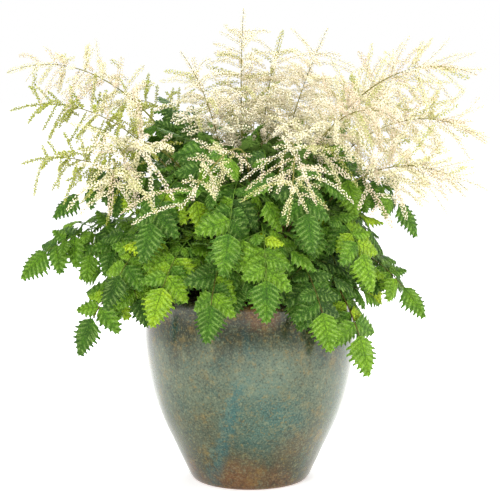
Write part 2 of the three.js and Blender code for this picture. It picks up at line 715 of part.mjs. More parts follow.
function plumeSolid(flower) {
  const skin = new Skin();
  const first = skin.ring(flower.axis[0], 4, PLUME_AXIS.startRadius, 0);
  skin.face([...first].reverse());
  addPlume(skin, first, flower, FLORET_REACH.open);
  return skin.solid();
}

function buddingSolid(flower) {
  const skin = new Skin();
  addPlume(skin, addStem(skin, flower.stem), flower, FLORET_REACH.bud);
  return skin.solid();
}

// Turned solids of the pot and the soil
function turnedSolid(profile) {
  const points = profile.map(([r, z]) => new THREE.Vector2(r, z));
  const geometry = new THREE.LatheGeometry(points, POT_SIDES).rotateX(Math.PI / 2);
  geometry.deleteAttribute("normal");
  geometry.deleteAttribute("uv");
  const merged = mergeVertices(geometry, 1e-3);
  const index = [...merged.index.array];
  const triangles = [];
  for (let i = 0; i < index.length; i += 3)
    if (new Set(index.slice(i, i + 3)).size === 3) triangles.push(index.slice(i, i + 3));
  const position = merged.getAttribute("position");
  const vertexAt = (_, i) => [position.getX(i), position.getY(i), position.getZ(i)];
  return solidOf(Array.from({ length: position.count }, vertexAt), triangles);
}

function potSolid() {
  const body = turnedSolid([[0, 0], ...POT_OUTSIDE, ...POT_INSIDE, [0, POT_INSIDE.at(-1)[1]]]);
  const drains = Array.from({ length: DRAIN.count }, (_, i) => {
    const angle = (2 * Math.PI * (i + 0.25)) / DRAIN.count;
    const hole = new THREE.CylinderGeometry(DRAIN.radius, DRAIN.radius, 60, DRAIN.sides).rotateX(Math.PI / 2);
    hole.translate(DRAIN.fromAxis * Math.cos(angle), DRAIN.fromAxis * Math.sin(angle), 10);
    return geometrySolid(hole);
  });
  return drains.reduce((whole, hole) => whole.subtract(hole), body);
}

function geometrySolid(geometry) {
  geometry.deleteAttribute("normal");
  geometry.deleteAttribute("uv");
  const merged = mergeVertices(geometry, 1e-3);
  const mesh = new wasm.Mesh({
    numProp: 3,
    vertProperties: merged.attributes.position.array,
    triVerts: new Uint32Array(merged.index.array),
  });
  return new wasm.Manifold(mesh);
}

// Soil: inside the pot by the seat gap, with a hole for each stalk
function soilSolid(stalks) {
  const [edge, belly, waist, floor] = POT_INSIDE.slice(1);
  const inside = ([r, z]) => [r - 1.6 * SEAT_GAP, z];
  const profile = [
    [0, floor[1] + SEAT_GAP],
    [floor[0] - 1.6 * SEAT_GAP, floor[1] + SEAT_GAP],
    inside(waist),
    inside(belly),
    [edge[0] - SEAT_GAP, SOIL_HEIGHT],
    [0, SOIL_HEIGHT],
  ];
  return stalks.reduce((whole, stalk) => whole.subtract(holeAround(stalk)), turnedSolid(profile));
}

// A four-sided hole round the lowest length of a stalk, from its root place to the next one up
function holeAround([root, next, halfSide, halfUp]) {
  const below = { ...root, point: sub(root.point, scaled(root.tangent, SEAT_GAP)) };
  const points = [below, next].flatMap(({ point, side, up }) =>
    [[-1, -1], [1, -1], [1, 1], [-1, 1]].map(([a, b]) =>
      add(point, add(scaled(side, a * (halfSide + HOLE_GAP)), scaled(up, b * (halfUp + HOLE_GAP)))),
    ),
  );
  const quads = [[3, 2, 1, 0], [4, 5, 6, 7], [0, 1, 5, 4], [1, 2, 6, 5], [2, 3, 7, 6], [3, 0, 4, 7]];
  return solidOf(points, quads.flatMap(([a, b, c, d]) => [[a, b, c], [a, c, d]]));
}

// The whole plant: first every stalk, then the spikes, then leaflets from the tips of the leaves back
const flowers = [...PLUMES, ...BUDDING_PLUMES].map(startFlower);
const leaves = LEAVES.map(startLeaf);
leaves.forEach((leaf) => (leaf.pinnae = [1, -1].map((side) => growPinna(leaf, side)).filter(Boolean)));
flowers.forEach((flower) => (flower.spikes = growSpikes(flower)));
leaves.forEach((leaf) => (leaf.end = growEnd(leaf)));
leaves.forEach((leaf) => (leaf.pairs = growPairs(leaf)));
leaves.forEach((leaf) => leaf.pinnae.forEach((pinna) => (pinna.end = growPinnaEnd(leaf, pinna))));
leaves.forEach((leaf) => leaf.pinnae.forEach((pinna) => (pinna.pair = growPinnaPair(leaf, pinna))));

const object = new THREE.Group();
function addNode(name, solid, look) {
  const { vertProperties, triVerts } = solid.getMesh();
  const geometry = new THREE.BufferGeometry();
  geometry.setAttribute("position", new THREE.BufferAttribute(new Float32Array(vertProperties), 3));
  geometry.setIndex(new THREE.BufferAttribute(new Uint32Array(triVerts), 1));
  geometry.computeVertexNormals();
  const mesh = new THREE.Mesh(geometry, new THREE.MeshStandardMaterial(look));
  mesh.name = name;
  object.add(mesh);
}

// The two lowest places of each stalk, and its half width and half thickness
const cornerwise = ({ point, tangent, side, up }) => ({
  point,
  tangent,
  side: turned(side, up, 45),
  up: turned(side, up, 135),
});
const flatwise = ({ point, tangent, normal }) => ({
  point,
  tangent,
  side: cross(tangent, normal),
  up: scaled(normal, -1),
});
const stemHalf = STEM.rootRadius * Math.SQRT1_2;
const stalks = [
  ...flowers.map(({ stem }) => [cornerwise(stem[0]), cornerwise(stem[1]), stemHalf, stemHalf]),
  ...leaves.map(({ at, backs: [root, next] }) => [
    flatwise(at(root)),
    flatwise(at(next)),
    RACHIS.halfWidth,
    RACHIS.halfThick,
  ]),
];
const numbered = (name, index) => `${name}_${String(index + 1).padStart(2, "0")}`;
addNode("pot", potSolid(), COLOURS.pot);
addNode("potting_soil", soilSolid(stalks), COLOURS.soil);
leaves.forEach((leaf, i) => addNode(numbered("leaf", i), leafSolid(leaf), COLOURS.leaf));
flowers.slice(0, PLUMES.length).forEach((flower, i) => {
  addNode(numbered("flower_stem", i), stemSolid(flower), COLOURS.stem);
  addNode(numbered("flower_plume", i), plumeSolid(flower), COLOURS.floret);
});
flowers.slice(PLUMES.length).forEach((flower, i) => {
  addNode(numbered("budding_plume", i), buddingSolid(flower), COLOURS.bud);
});

export default object;
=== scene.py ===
import math
from itertools import product

import bpy
import numpy as np
from mathutils import Matrix


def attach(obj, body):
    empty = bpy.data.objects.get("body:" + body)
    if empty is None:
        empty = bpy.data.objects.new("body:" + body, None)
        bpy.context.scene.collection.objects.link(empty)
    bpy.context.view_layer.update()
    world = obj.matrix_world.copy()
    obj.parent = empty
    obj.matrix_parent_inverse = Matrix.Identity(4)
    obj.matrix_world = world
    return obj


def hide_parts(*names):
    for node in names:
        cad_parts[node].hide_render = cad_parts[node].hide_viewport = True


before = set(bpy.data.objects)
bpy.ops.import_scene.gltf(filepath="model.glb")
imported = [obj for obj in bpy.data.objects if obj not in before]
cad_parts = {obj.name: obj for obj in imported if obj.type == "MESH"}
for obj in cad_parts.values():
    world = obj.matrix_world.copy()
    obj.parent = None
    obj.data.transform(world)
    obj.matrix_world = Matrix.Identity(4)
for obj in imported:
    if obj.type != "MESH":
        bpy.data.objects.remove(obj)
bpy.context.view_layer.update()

# Goatsbeard in a glazed pot. Lengths are in millimetres until a mesh is made: +Z up, -Y to the front,
# origin at the centre of the pot's foot. Leaves and plumes grow by the rules of the solids, and finer
# leaflets and spikes then fill in among them.
METRES = 0.001

# Pot: [radius, height] up the outside, over the lip and down the inside
POT_OUTSIDE = [(104, 0), (131, 58), (161, 124), (179, 190), (186, 250), (183, 304), (187, 324), (182, 336)]
POT_INSIDE = [(172, 334), (169, 304), (172, 240), (148, 124), (98, 22)]
POT_TOP = 336
POT_CLEARANCE = 4
POT_FLOOR, POT_SIDES = 22, 128
DRAIN_COUNT, DRAIN_RADIUS, DRAIN_FROM_AXIS, DRAIN_SIDES, DRAIN_ENDS = 3, 9, 50, 24, (-20, 40)
PROFILE_STEPS, CREASE_ANGLE = 8, 50

SEAT_GAP = 0.4
SOIL_HEIGHT, SOIL_SIDES, SOIL_RINGS = 302, 96, 32
SOIL_INSET, SOIL_FADE, LUMP_PITCH, LUMP_HEIGHT = 0.6, 12, 0.14, 0.4
ROOT_HEIGHT = 288
SEAT_COUNT, SEAT_SPACING = 64, 9
GOLDEN_ANGLE, GOLDEN_SHARE = 137.508, 0.381966

# Leaves: end of the rachis (x, y, z), height of its arch, size of its leaflets
LEAVES = [
    ((-348, -78, 412), 452, 0.95),
    ((-264, -134, 306), 410, 1.0),
    ((-214, -186, 386), 456, 0.92),
    ((-288, -108, 512), 540, 0.85),
    ((-158, -214, 476), 544, 1.0),
    ((-140, -240, 374), 450, 0.98),
    ((-62, -272, 350), 432, 0.92),
    ((-34, -246, 462), 534, 1.08),
    ((26, -286, 392), 470, 1.0),
    ((116, -248, 334), 420, 0.95),
    ((180, -184, 286), 400, 1.02),
    ((262, -92, 352), 414, 0.92),
    ((186, -166, 420), 486, 0.98),
    ((256, -46, 492), 532, 0.98),
    ((92, -218, 492), 560, 1.0),
    ((-86, -176, 540), 588, 1.0),
    ((30, -150, 536), 576, 0.95),
    ((-180, -76, 592), 616, 0.95),
    ((24, -44, 572), 596, 0.95),
    ((164, -92, 536), 580, 1.0),
    ((-286, 92, 404), 464, 1.1),
    ((-192, 206, 362), 438, 1.15),
    ((-52, 262, 384), 458, 1.2),
    ((104, 252, 354), 432, 1.15),
    ((240, 150, 398), 462, 1.15),
    ((-130, 140, 540), 588, 1.15),
    ((6, 214, 492), 556, 1.15),
    ((136, 130, 520), 568, 1.1),
]
LEAF_SEED = 11
LEAF_ROOT_RADIUS = (72, 40)
LEAF_TIP_HEIGHT = (280, 640)
RACHIS_HALF_WIDTH = 1.7
PETIOLE_STEPS, ROOT_ALONG, CREST_ALONG = 4, 0.1, 0.64
ROLL_TO_FRONT, ROLL_JITTER = 30, 12
END_LENGTH = 70
# [back from the end of the rachis, length, angle] of each pair of leaflets
PAIRS = [(22, 58, 60), (58, 62, 64)]
PINNA_BACK, PINNA_LENGTH, PINNA_ANGLE, PINNA_END_LENGTH = 100, 56, 64, 54
PINNA_PAIR_BACK, PINNA_PAIR_LENGTH, PINNA_PAIR_ANGLE, PINNA_BARE = 18, 46, 64, 12
PINNA_JITTER, ANGLE_JITTER, LEAN_JITTER, TWIST_JITTER, TWIST = (4, 6), 5, 9, 12, 9
THROAT, BASE_OPEN = 5, 6
DROOP_END, DROOP_PAIR, DROOP_PINNA, DROOP_PINNA_PAIR, DROOP_PINNA_END = 4, 24, 16, 14, 8
DROOP_TRIES = [0, 12, -12, 24, -24, 36, -36, 50]
SIZE_TRIES = [1, 0.8, 0.62]
SIDE_MARGIN = [(0.24, 0.34), (0.42, 0.28), (0.62, 0.32)]
END_MARGIN = [(0.2, 0.35), (0.4, 0.28), (0.56, 0.34), (0.74, 0.19)]
BLADE_HALF_THICK, BLADE_FOLD, BLADE_ARCH, STRUT = 0.7, 0.22, 0.14, 1.8

# Flower stems: the two leading points and the tip of the curve, where the florets begin, longest spike
PLUMES = [
    ((-16, 8, 520), (-20, 12, 700), (-11, 0, 826), 0.62, 82),
    ((-50, -20, 560), (-236, -62, 790), (-412, -62, 716), 0.64, 88),
    ((-56, -70, 560), (-232, -150, 726), (-226, -212, 486), 0.66, 104),
    ((0, -90, 600), (18, -246, 680), (-112, -268, 500), 0.74, 56),
    ((34, -90, 590), (96, -246, 720), (58, -292, 478), 0.7, 92),
    ((-30, -22, 540), (-62, -66, 680), (-118, -64, 752), 0.55, 102),
    ((12, 24, 520), (20, 44, 680), (58, 34, 790), 0.58, 106),
    ((30, 4, 520), (84, 4, 690), (134, -14, 792), 0.56, 108),
    ((44, -12, 540), (196, -42, 790), (384, -70, 712), 0.6, 98),
    ((50, 14, 500), (236, 26, 730), (412, -20, 596), 0.56, 96),
    ((56, -46, 480), (236, -120, 640), (364, -126, 520), 0.6, 96),
    ((42, -54, 540), (150, -120, 720), (250, -140, 632), 0.6, 100),
    ((44, 66, 520), (160, 190, 750), (290, 226, 668), 0.6, 94),
]
BUDDING_PLUMES = [
    ((-44, 56, 540), (-166, 190, 740), (-270, 240, 636), 0.6, 94),
    ((-54, -44, 500), (-226, -84, 716), (-404, -92, 652), 0.56, 78),
    ((-64, -62, 450), (-236, -130, 620), (-378, -144, 566), 0.62, 62),
    ((2, 76, 540), (10, 210, 740), (16, 322, 640), 0.6, 88),
]
PLUME_SEED = 74
SOIL_SEED, TINT_SEED, FLORET_SEED, BLADE_SEED = 5, 300, 900, 4000
STEM_ROOT_RADIUS, STEM_STEPS, STEM_ROOT_LEAN = 2.3, 6, 0.075
PLUME_NODES = [0.04, 0.16, 0.29, 0.43, 0.58]
PLUME_END = [0.7, 0.86]
PLUME_THROAT = 4
SPIKE_RISE, SPIKE_SAG, SPIKE_SHORTEST = 76, 0.16, 0.5
# How far chance changes the size, turn and rise of a spike of the solids, a filling spike and a side spike
SPIKE_JITTERS, EXTRA_JITTERS, SIDE_JITTERS = (0.14, 12, 9), (0.2, 20, 16), (0.2, 40, 12)
FLORET_REACH = 5.4
TURN_TRIES = [0, 18, -18, 34, -34]
RISE_TRIES = [0, 16, -16, 30]
LENGTH_TRIES = [1, 0.75, 0.5]
SWAY_TRIES = [0, 12, -12, 24, -24, 36, -36, 50, -50]
CLEARANCE = 1.6

# What fills in: a second pair of pinnae further back, a second pair of leaflets on each pinna, shorter leaves
# inside the plant, and spikes all round the axis of each plume with side spikes on the lower ones
INNER_PINNA_BACK, INNER_PINNA_LENGTH, INNER_PINNA_ROOM = 150, 66, 60
INNER_PAIRS = [(18, 48, 62), (44, 42, 66)]
LOW_PAIR_AT, LOW_PAIR_LENGTH = 14, 40
BETWEEN_PAIRS, BETWEEN_LENGTH, BETWEEN_ANGLE = (40, 80, 124), 44, 66
INNER_LEAVES, INNER_SIZE = 19, 0.9
INNER_END_RADIUS, INNER_END_HEIGHT, INNER_ARCH = (96, 236), (352, 560), 52
INNER_RISE_STEP, INNER_RISE_START, INNER_SPREAD, INNER_NARROWING, INNER_TURN = 0.27, 0.1, 1.1, 0.35, 40
RIM_LEAVES, RIM_END_RADIUS, RIM_END_HEIGHT = 13, (190, 222), (400, 352)
FILL_SIZES = [1, 0.82, 0.66, 0.5]
EXTRA_CLEARANCE = 0.3
EXTRA_SPIKES = [32, 20, 14, 3, 4, 38, 42, 42, 30, 44, 38, 36, 24, 22, 32, 28, 16]
EXTRA_SPIKE_RADIUS, EXTRA_RISE, EXTRA_SAG, RISE_FALL = 2.6, 82, 0.28, 22
EXTRA_FROM, EXTRA_SPAN, EXTRA_LONGEST, EXTRA_TAPER = 0.01, 0.8, 1.12, 0.6
SAG_JITTER, BEND_JITTER, BUD_BEND_JITTER = 0.22, 0.1, 0.2
LOOSE_PLUMES, UPRIGHT_PLUMES = (3, 4), (0, 5, 6, 7)
SWEPT_PLUMES, SWEPT_RISE, SWEPT_SAG = (8, 9, 10), 56, 0.04
SIDE_SPIKE_SHARES, SIDE_SPIKE_RISE, SIDE_SPIKE_RADIUS = [0.22, 0.4, 0.58], 56, 2
SIDE_SPIKE_LONGEST, SIDE_SPIKE_TAPER, SIDE_SPIKE_TURN = 0.5, 0.34, 60
# Long arching spikes before the leaves: [flower, share of its axis, heading, length, sag]
ARCHES = [
    (3, 0.72, (-1, -0.08, 0.2), 118, 0.5),
    (3, 0.9, (-1, -0.05, -0.1), 84, 0.3),
    (4, 0.55, (1, -0.06, 0.42), 104, 0.74),
    (4, 0.6, (-1, -0.06, 0.3), 86, 0.6),
    (2, 0.7, (-0.6, -0.5, 0.2), 90, 0.7),
]


# Vectors
def dots(a, b):
    return (a * b).sum(axis=-1)


def norm(a):
    return np.sqrt(dots(a, a))


def unit(a):
    return a / norm(a)[..., None]


def cross(a, b):
    ax, ay, az = a[..., 0], a[..., 1], a[..., 2]
    bx, by, bz = b[..., 0], b[..., 1], b[..., 2]
    return np.stack([ay * bz - az * by, az * bx - ax * bz, ax * by - ay * bx], axis=-1)


def turned(a, b, degrees):
    angle = math.radians(degrees)
    return a * math.cos(angle) + b * math.sin(angle)


def vector(*numbers):
    return np.array(numbers, dtype=float)


def round_axis(angle, radius, height):
    return vector(radius * math.cos(angle), radius * math.sin(angle), height)


def mixed(ends, share):
    return ends[0] + (ends[1] - ends[0]) * share


def distances_to(points):
    """How far each point of a line is from its first, along the line."""
    return np.concatenate([[0], np.cumsum(norm(np.diff(points, axis=0)))])


def samples(edges, count):
    """Points evenly spaced along each edge, its ends among them."""
    shares = np.linspace(0, 1, count)[:, None, None]
    return (edges[None, :, 0] * (1 - shares) + edges[None, :, 1] * shares).reshape(-1, 3)


def stream(seed):
    """A seeded stream of numbers from 0 to 1."""
    state = seed
    while True:
        state = (state * 1664525 + 1013904223) % 4294967296
        yield state / 4294967296


def jitter_of(seed):
    numbers = stream(seed)
    return lambda reach: (2 * next(numbers) - 1) * reach


class Curve:
    """A cubic curve on which a point is found by its distance along it."""

    CHORDS = 32

    def __init__(self, *points):
        self.points = [np.asarray(p, dtype=float) for p in points]
        self.reached = distances_to(self.at(np.arange(self.CHORDS + 1)[:, None] / self.CHORDS))
        self.total = self.reached[-1]

    def at(self, t):
        p0, p1, p2, p3 = self.points
        return p0 * (1 - t) ** 3 + p1 * 3 * t * (1 - t) ** 2 + p2 * 3 * t * t * (1 - t) + p3 * t**3

    def slope(self, t):
        p0, p1, p2, p3 = self.points
        return (p1 - p0) * (1 - t) ** 2 + (p2 - p1) * 2 * t * (1 - t) + (p3 - p2) * t * t

    def where(self, distance):
        i = 1 + int(np.searchsorted(self.reached[1 : self.CHORDS], distance))
        share = (distance - self.reached[i - 1]) / (self.reached[i] - self.reached[i - 1])
        t = (i - 1 + share) / self.CHORDS
        return self.at(t), unit(self.slope(t))

    def line(self, distances):
        return np.array([self.where(distance)[0] for distance in distances])


# What has grown, as parts with edges, faces and struts through the faces
def segment_gaps(one, other):
    p, q = one[:, None, 0], one[:, None, 1]
    r, s = other[None, :, 0], other[None, :, 1]
    d1, d2, gap = q - p, s - r, p - r
    a, e, b = dots(d1, d1), dots(d2, d2), dots(d1, d2)
    c, f = dots(d1, gap), dots(d2, gap)
    bend = a * e - b * b
    crossing = bend > 1e-9
    t1 = np.where(crossing, np.clip((b * f - c * e) / np.where(crossing, bend, 1), 0, 1), 0)
    t2 = np.clip((b * t1 + f) / e, 0, 1)
    t1 = np.clip((b * t2 - c) / a, 0, 1)
    return norm(p + d1 * t1[..., None] - r - d2 * t2[..., None])


def pierced(edges, faces):
    p, q = edges[:, None, 0], edges[:, None, 1]
    a, b, c = (faces[None, :, k] for k in range(3))
    ray, ab, ac, start = q - p, b - a, c - a, p - a
    across = cross(ray, ac)
    scale = dots(ab, across)
    facing = np.abs(scale) >= 1e-9
    scale = np.where(facing, scale, 1)
    turn = cross(start, ab)
    u, v, t = dots(start, across) / scale, dots(ray, turn) / scale, dots(ac, turn) / scale
    return bool((facing & (u >= 0) & (v >= 0) & (u + v <= 1) & (t >= 0) & (t <= 1)).any())


class Part:
    def __init__(self, edges, radius, owner=None, faces=(), struts=()):
        self.edges = np.asarray(edges, dtype=float)
        self.radius = radius
        self.owner = owner
        self.faces = np.asarray(faces, dtype=float).reshape(-1, 3, 3)
        self.struts = np.asarray(struts, dtype=float).reshape(-1, 2, 3)
        points = self.edges.reshape(-1, 3)
        self.centre = points.mean(axis=0)
        self.reach = norm(points - self.centre).max() + radius


class Garden:
    def __init__(self, room=8000):
        self.parts = []
        self.centres = np.empty((room, 3))
        self.reaches = np.empty(room)

    def add(self, part):
        self.centres[len(self.parts)] = part.centre
        self.reaches[len(self.parts)] = part.reach
        self.parts.append(part)

    def touched(self, part, clearance):
        count = len(self.parts)
        apart = norm(self.centres[:count] - part.centre)
        near = np.nonzero(apart <= self.reaches[:count] + part.reach + clearance)[0]
        others = [self.parts[i] for i in near]
        others = [other for other in others if part.owner is None or part.owner != other.owner]
        if not others:
            return False
        edges = np.concatenate([other.edges for other in others])
        limits = np.repeat(
            [part.radius + other.radius + clearance for other in others],
            [len(other.edges) for other in others],
        )
        if (segment_gaps(part.edges, edges) < limits).any():
            return True
        faces = np.concatenate([other.faces for other in others])
        if len(faces) and pierced(np.concatenate([part.edges, part.struts]), faces):
            return True
        struts = np.concatenate([other.struts for other in others])
        return bool(len(part.faces)) and pierced(np.concatenate([edges, struts]), part.faces)

    def takes(self, part, clearance=CLEARANCE):
        """Adds a part if it is clear of the pot and of what has grown, and says whether it did."""
        if in_pot(samples(part.edges, 3)).any() or self.touched(part, clearance):
            return False
        self.add(part)
        return True


def in_pot(points):
    """Whether points are in the pot's wall, or in the soil at the foot of other stalks."""
    r, z = np.hypot(points[..., 0], points[..., 1]), points[..., 2]
    radii, heights = np.array(POT_OUTSIDE, dtype=float).T
    wall = np.interp(z - POT_CLEARANCE, heights, radii, right=0)
    outside = (z > POT_TOP + POT_CLEARANCE) | (r > wall + POT_CLEARANCE)
    return ~outside & ((r > POT_INSIDE[1][0] - POT_CLEARANCE) | (z < SOIL_HEIGHT + POT_CLEARANCE))


def seat_at(i):
    return round_axis(math.radians(GOLDEN_ANGLE * i), SEAT_SPACING * math.sqrt(i + 0.5), ROOT_HEIGHT)


garden = Garden()
seats = [seat_at(i) for i in range(SEAT_COUNT)]


def take_seat(wanted):
    apart = [math.hypot(seat[0] - wanted[0], seat[1] - wanted[1]) for seat in seats]
    return seats.pop(apart.index(min(apart)))


def grow_stalk(radius, curve_at, distances_of, owner=None, stout_lengths=0, stout_radius=0):
    for sway in [*SWAY_TRIES, 0]:
        curve = curve_at(sway)
        points = curve.line(distances_of(curve))
        edges = np.stack([points[:-1], points[1:]], axis=1)
        thin = len(edges) - stout_lengths
        parts = [Part([edge], radius if i < thin else stout_radius) for i, edge in enumerate(edges)]
        above = samples(edges, 9)
        above = above[above[:, 2] > SOIL_HEIGHT + POT_CLEARANCE]
        if not in_pot(above).any() and not any(garden.touched(part, CLEARANCE) for part in parts):
            for part in parts:
                part.owner = owner
                garden.add(part)
            return curve
    return None


class Leaf:
    def __init__(self, index, end, peak, size):
        self.size = size
        self.index = index
        self.jitter = jitter_of(LEAF_SEED + index)
        end = vector(*end)
        low, high = LEAF_TIP_HEIGHT
        height = min(1, max(0, (end[2] - low) / (high - low)))
        seat = take_seat(unit(end * (1, 1, 0)) * mixed(LEAF_ROOT_RADIUS, height))
        crest = (peak - 0.125 * (seat[2] + end[2])) / 0.75
        aside = unit(vector(end[1], -end[0], 0))

        def curve_at(sway):
            leads = [seat * (1 - k) + end * k for k in (ROOT_ALONG, CREST_ALONG)]
            return Curve(seat, *(aside * sway + vector(lead[0], lead[1], crest) for lead in leads), end)

        def distances_of(curve):
            blade = PINNA_BACK + THROAT / 2
            petiole = curve.total / size - blade
            backs = [blade + petiole * (1 - i / PETIOLE_STEPS) for i in range(PETIOLE_STEPS)]
            for back in (PINNA_BACK, PAIRS[1][0], PAIRS[0][0]):
                backs += [back + THROAT / 2, back - THROAT / 2]
            return [curve.total - back * size for back in [*backs, 0]]

        self.leaflets = []
        self.pinnae = []
        self.curve = grow_stalk(RACHIS_HALF_WIDTH, curve_at, distances_of)
        if self.curve is None:
            return
        self.roll = ROLL_TO_FRONT * (end[0] / math.hypot(end[0], end[1])) + self.jitter(ROLL_JITTER)
        self.reach = self.curve.total / size

    def at(self, back):
        point, tangent = self.curve.where(self.curve.total - back * self.size)
        level = unit(vector(0, 0, 1) - tangent * tangent[2])
        return point, tangent, turned(level, cross(tangent, level), self.roll)

    def grow_pinnae(self, back, long, clearance=CLEARANCE):
        """Grows the stalks of a pair of pinnae, each drooped until it is clear."""
        root, tangent, normal = self.at(back)
        for side in (1, -1):
            flat = turned(tangent, cross(normal, tangent) * side, PINNA_ANGLE + self.jitter(PINNA_JITTER[0]))
            droop = DROOP_PINNA + self.jitter(PINNA_JITTER[1])
            for extra in DROOP_TRIES:
                heading = turned(flat, -normal, droop + extra)
                pinna = Pinna(root, heading, turned(normal, flat, droop + extra), self.size, long)
                part = Part([[pinna.at(PINNA_BARE)[0], pinna.at(long)[0]]], RACHIS_HALF_WIDTH)
                if garden.takes(part, clearance):
                    self.pinnae.append(pinna)
                    break

    def grow_pair(self, place, *measures, **limits):
        for side in (1, -1):
            self.grow_leaflet(place, side, *measures, **limits)

    def grow_leaflet(
        self, place, side, long, angle, droop, margin=SIDE_MARGIN, clearance=CLEARANCE, sizes=SIZE_TRIES
    ):
        """Grows a leaflet, drooping it more or less, and then smaller, until it is clear."""
        root, tangent, normal = place
        left = cross(normal, tangent)
        flat = tangent if side == 0 else turned(tangent, left * side, angle + self.jitter(ANGLE_JITTER))
        lean = droop + self.jitter(LEAN_JITTER)
        twist = self.jitter(TWIST_JITTER) + TWIST * side
        for share, extra in product(sizes, DROOP_TRIES):
            direction = turned(flat, -normal, lean + extra)
            lifted = turned(normal, flat, lean + extra)
            facing = turned(lifted, cross(direction, lifted), twist)
            leaflet = Leaflet(root, direction, facing, long * self.size * share, margin)
            if garden.takes(leaflet.part(), clearance):
                self.leaflets.append(leaflet)
                return


class Pinna:
    def __init__(self, root, heading, normal, size, long):
        self.root, self.heading, self.normal, self.size, self.long = root, heading, normal, size, long

    def at(self, distance):
        return self.root + self.heading * distance * self.size, self.heading, self.normal


class Leaflet:
    def __init__(self, root, direction, normal, size, margin):
        self.root, self.direction, self.normal = root, direction, normal
        self.right = cross(direction, normal)
        self.size, self.margin = size, margin

    def spot(self, forward, out, rise=0.0):
        forward, out, rise = (np.asarray(x, dtype=float)[..., None] for x in (forward, out, rise))
        sag = BLADE_FOLD * np.abs(out) + BLADE_ARCH * forward * forward - rise
        return self.root + (self.direction * forward + self.right * out - self.normal * sag) * self.size

    def part(self):
        forward, out = np.array(self.margin).T
        ring = self.spot(
            np.concatenate([forward, [1], forward[::-1]]), np.concatenate([out, [0], -out[::-1]])
        )
        base, low, middle, high = self.spot([BASE_OPEN / self.size, 0.25, 0.5, 0.75], np.zeros(4))
        tip = ring[len(forward)]
        ahead = np.roll(ring, -1, axis=0)
        spines = np.array([[base, tip], [base, ring[0]], [base, ring[-1]]])
        faces = np.stack([np.broadcast_to(middle, ring.shape), ring, ahead], axis=1)
        props = np.concatenate([ring, [middle, low, high]])
        return Part(
            np.concatenate([np.stack([ring, ahead], axis=1), spines]),
            BLADE_HALF_THICK,
            faces=np.concatenate([faces, [[base, ring[0], ring[-1]]]]),
            struts=np.stack([props + self.normal * STRUT, props - self.normal * STRUT], axis=1),
        )


class Flower:
    def __init__(self, index, lead_low, lead_high, tip, start, longest):
        self.index, self.longest, self.start = index, longest, start
        self.budding = index >= len(PLUMES)
        self.jitter = jitter_of(PLUME_SEED + index)
        self.owner = f"flower {index}"
        lead_low, lead_high, tip = (vector(*p) for p in (lead_low, lead_high, tip))
        seat = take_seat(tip * STEM_ROOT_LEAN)
        aside = unit(vector(tip[1], -tip[0], 0))

        def curve_at(sway):
            return Curve(seat, lead_low + aside * sway, lead_high + aside * sway, tip)

        self.curve = grow_stalk(
            STEM_ROOT_RADIUS, curve_at, self.distances, self.owner, len(PLUME_END) + 1, FLORET_REACH
        )
        places = framed([self.curve.where(distance) for distance in self.distances(self.curve)])
        self.axis = places[STEM_STEPS:]
        self.spikes = []

    def distances(self, curve):
        stem = [curve.total * self.start * i / STEM_STEPS for i in range(STEM_STEPS + 1)]
        nodes = [self.along(curve, share) + k * PLUME_THROAT / 2 for share in PLUME_NODES for k in (-1, 1)]
        return [*stem, *nodes, *(self.along(curve, share) for share in PLUME_END), curve.total]

    def along(self, curve, share):
        return curve.total * (self.start + (1 - self.start) * share)

    def jitters(self, reaches):
        return [self.jitter(reach) for reach in reaches]

    def root_at(self, share):
        return self.curve.where(self.along(self.curve, share))[0]

    def grow_spikes(self):
        for node, share in enumerate(PLUME_NODES):
            for face in (0, 2):
                near, far = self.axis[1 + 2 * node], self.axis[2 + 2 * node]
                more, turn, lift = self.jitters(SPIKE_JITTERS)
                size = self.longest * (1 - (1 - SPIKE_SHORTEST) * share) * (1 + more)
                azimuth = 45 + 90 * (face + node % 2) + turn
                root = (near.point + far.point) / 2
                self.grow_spike(root, near, azimuth, size, SPIKE_RISE + lift, FLORET_REACH, CLEARANCE)

    def grow_spike(self, root, place, azimuth, size, rise, radius, clearance, sag=SPIKE_SAG, bend=0.0):
        for share, extra_rise, extra_turn in product(LENGTH_TRIES, RISE_TRIES, TURN_TRIES):
            outward = turned(place.side, place.up, azimuth + extra_turn)
            heading = turned(place.tangent, outward, rise + extra_rise)
            spike = Spike(root, heading, size * share, radius, sag, bend)
            if garden.takes(spike.part(self.owner), clearance):
                self.spikes.append(spike)
                return


class Place:
    def __init__(self, point, tangent, side):
        self.point, self.tangent, self.side, self.up = point, tangent, side, cross(tangent, side)


def framed(places):
    side = vector(0, 1, 0)
    carried = []
    for point, tangent in places:
        side = unit(side - tangent * dots(side, tangent))
        carried.append(Place(point, tangent, side))
    return carried


class Spike:
    def __init__(self, root, heading, reach, radius, sag, bend):
        self.root, self.radius, self.reach = root, radius, reach
        self.middle = root + heading * reach * 0.5 + vector(0, 0, bend * reach)
        self.end = root + heading * reach + vector(0, 0, -sag * reach)

    def at(self, t):
        t = np.asarray(t, dtype=float)[..., None]
        return self.root * (1 - t) ** 2 + self.middle * 2 * t * (1 - t) + self.end * t * t

    def part(self, owner):
        points = self.at([0, 0.35, 0.7, 1])
        return Part(np.stack([points[:-1], points[1:]], axis=1), self.radius, owner)


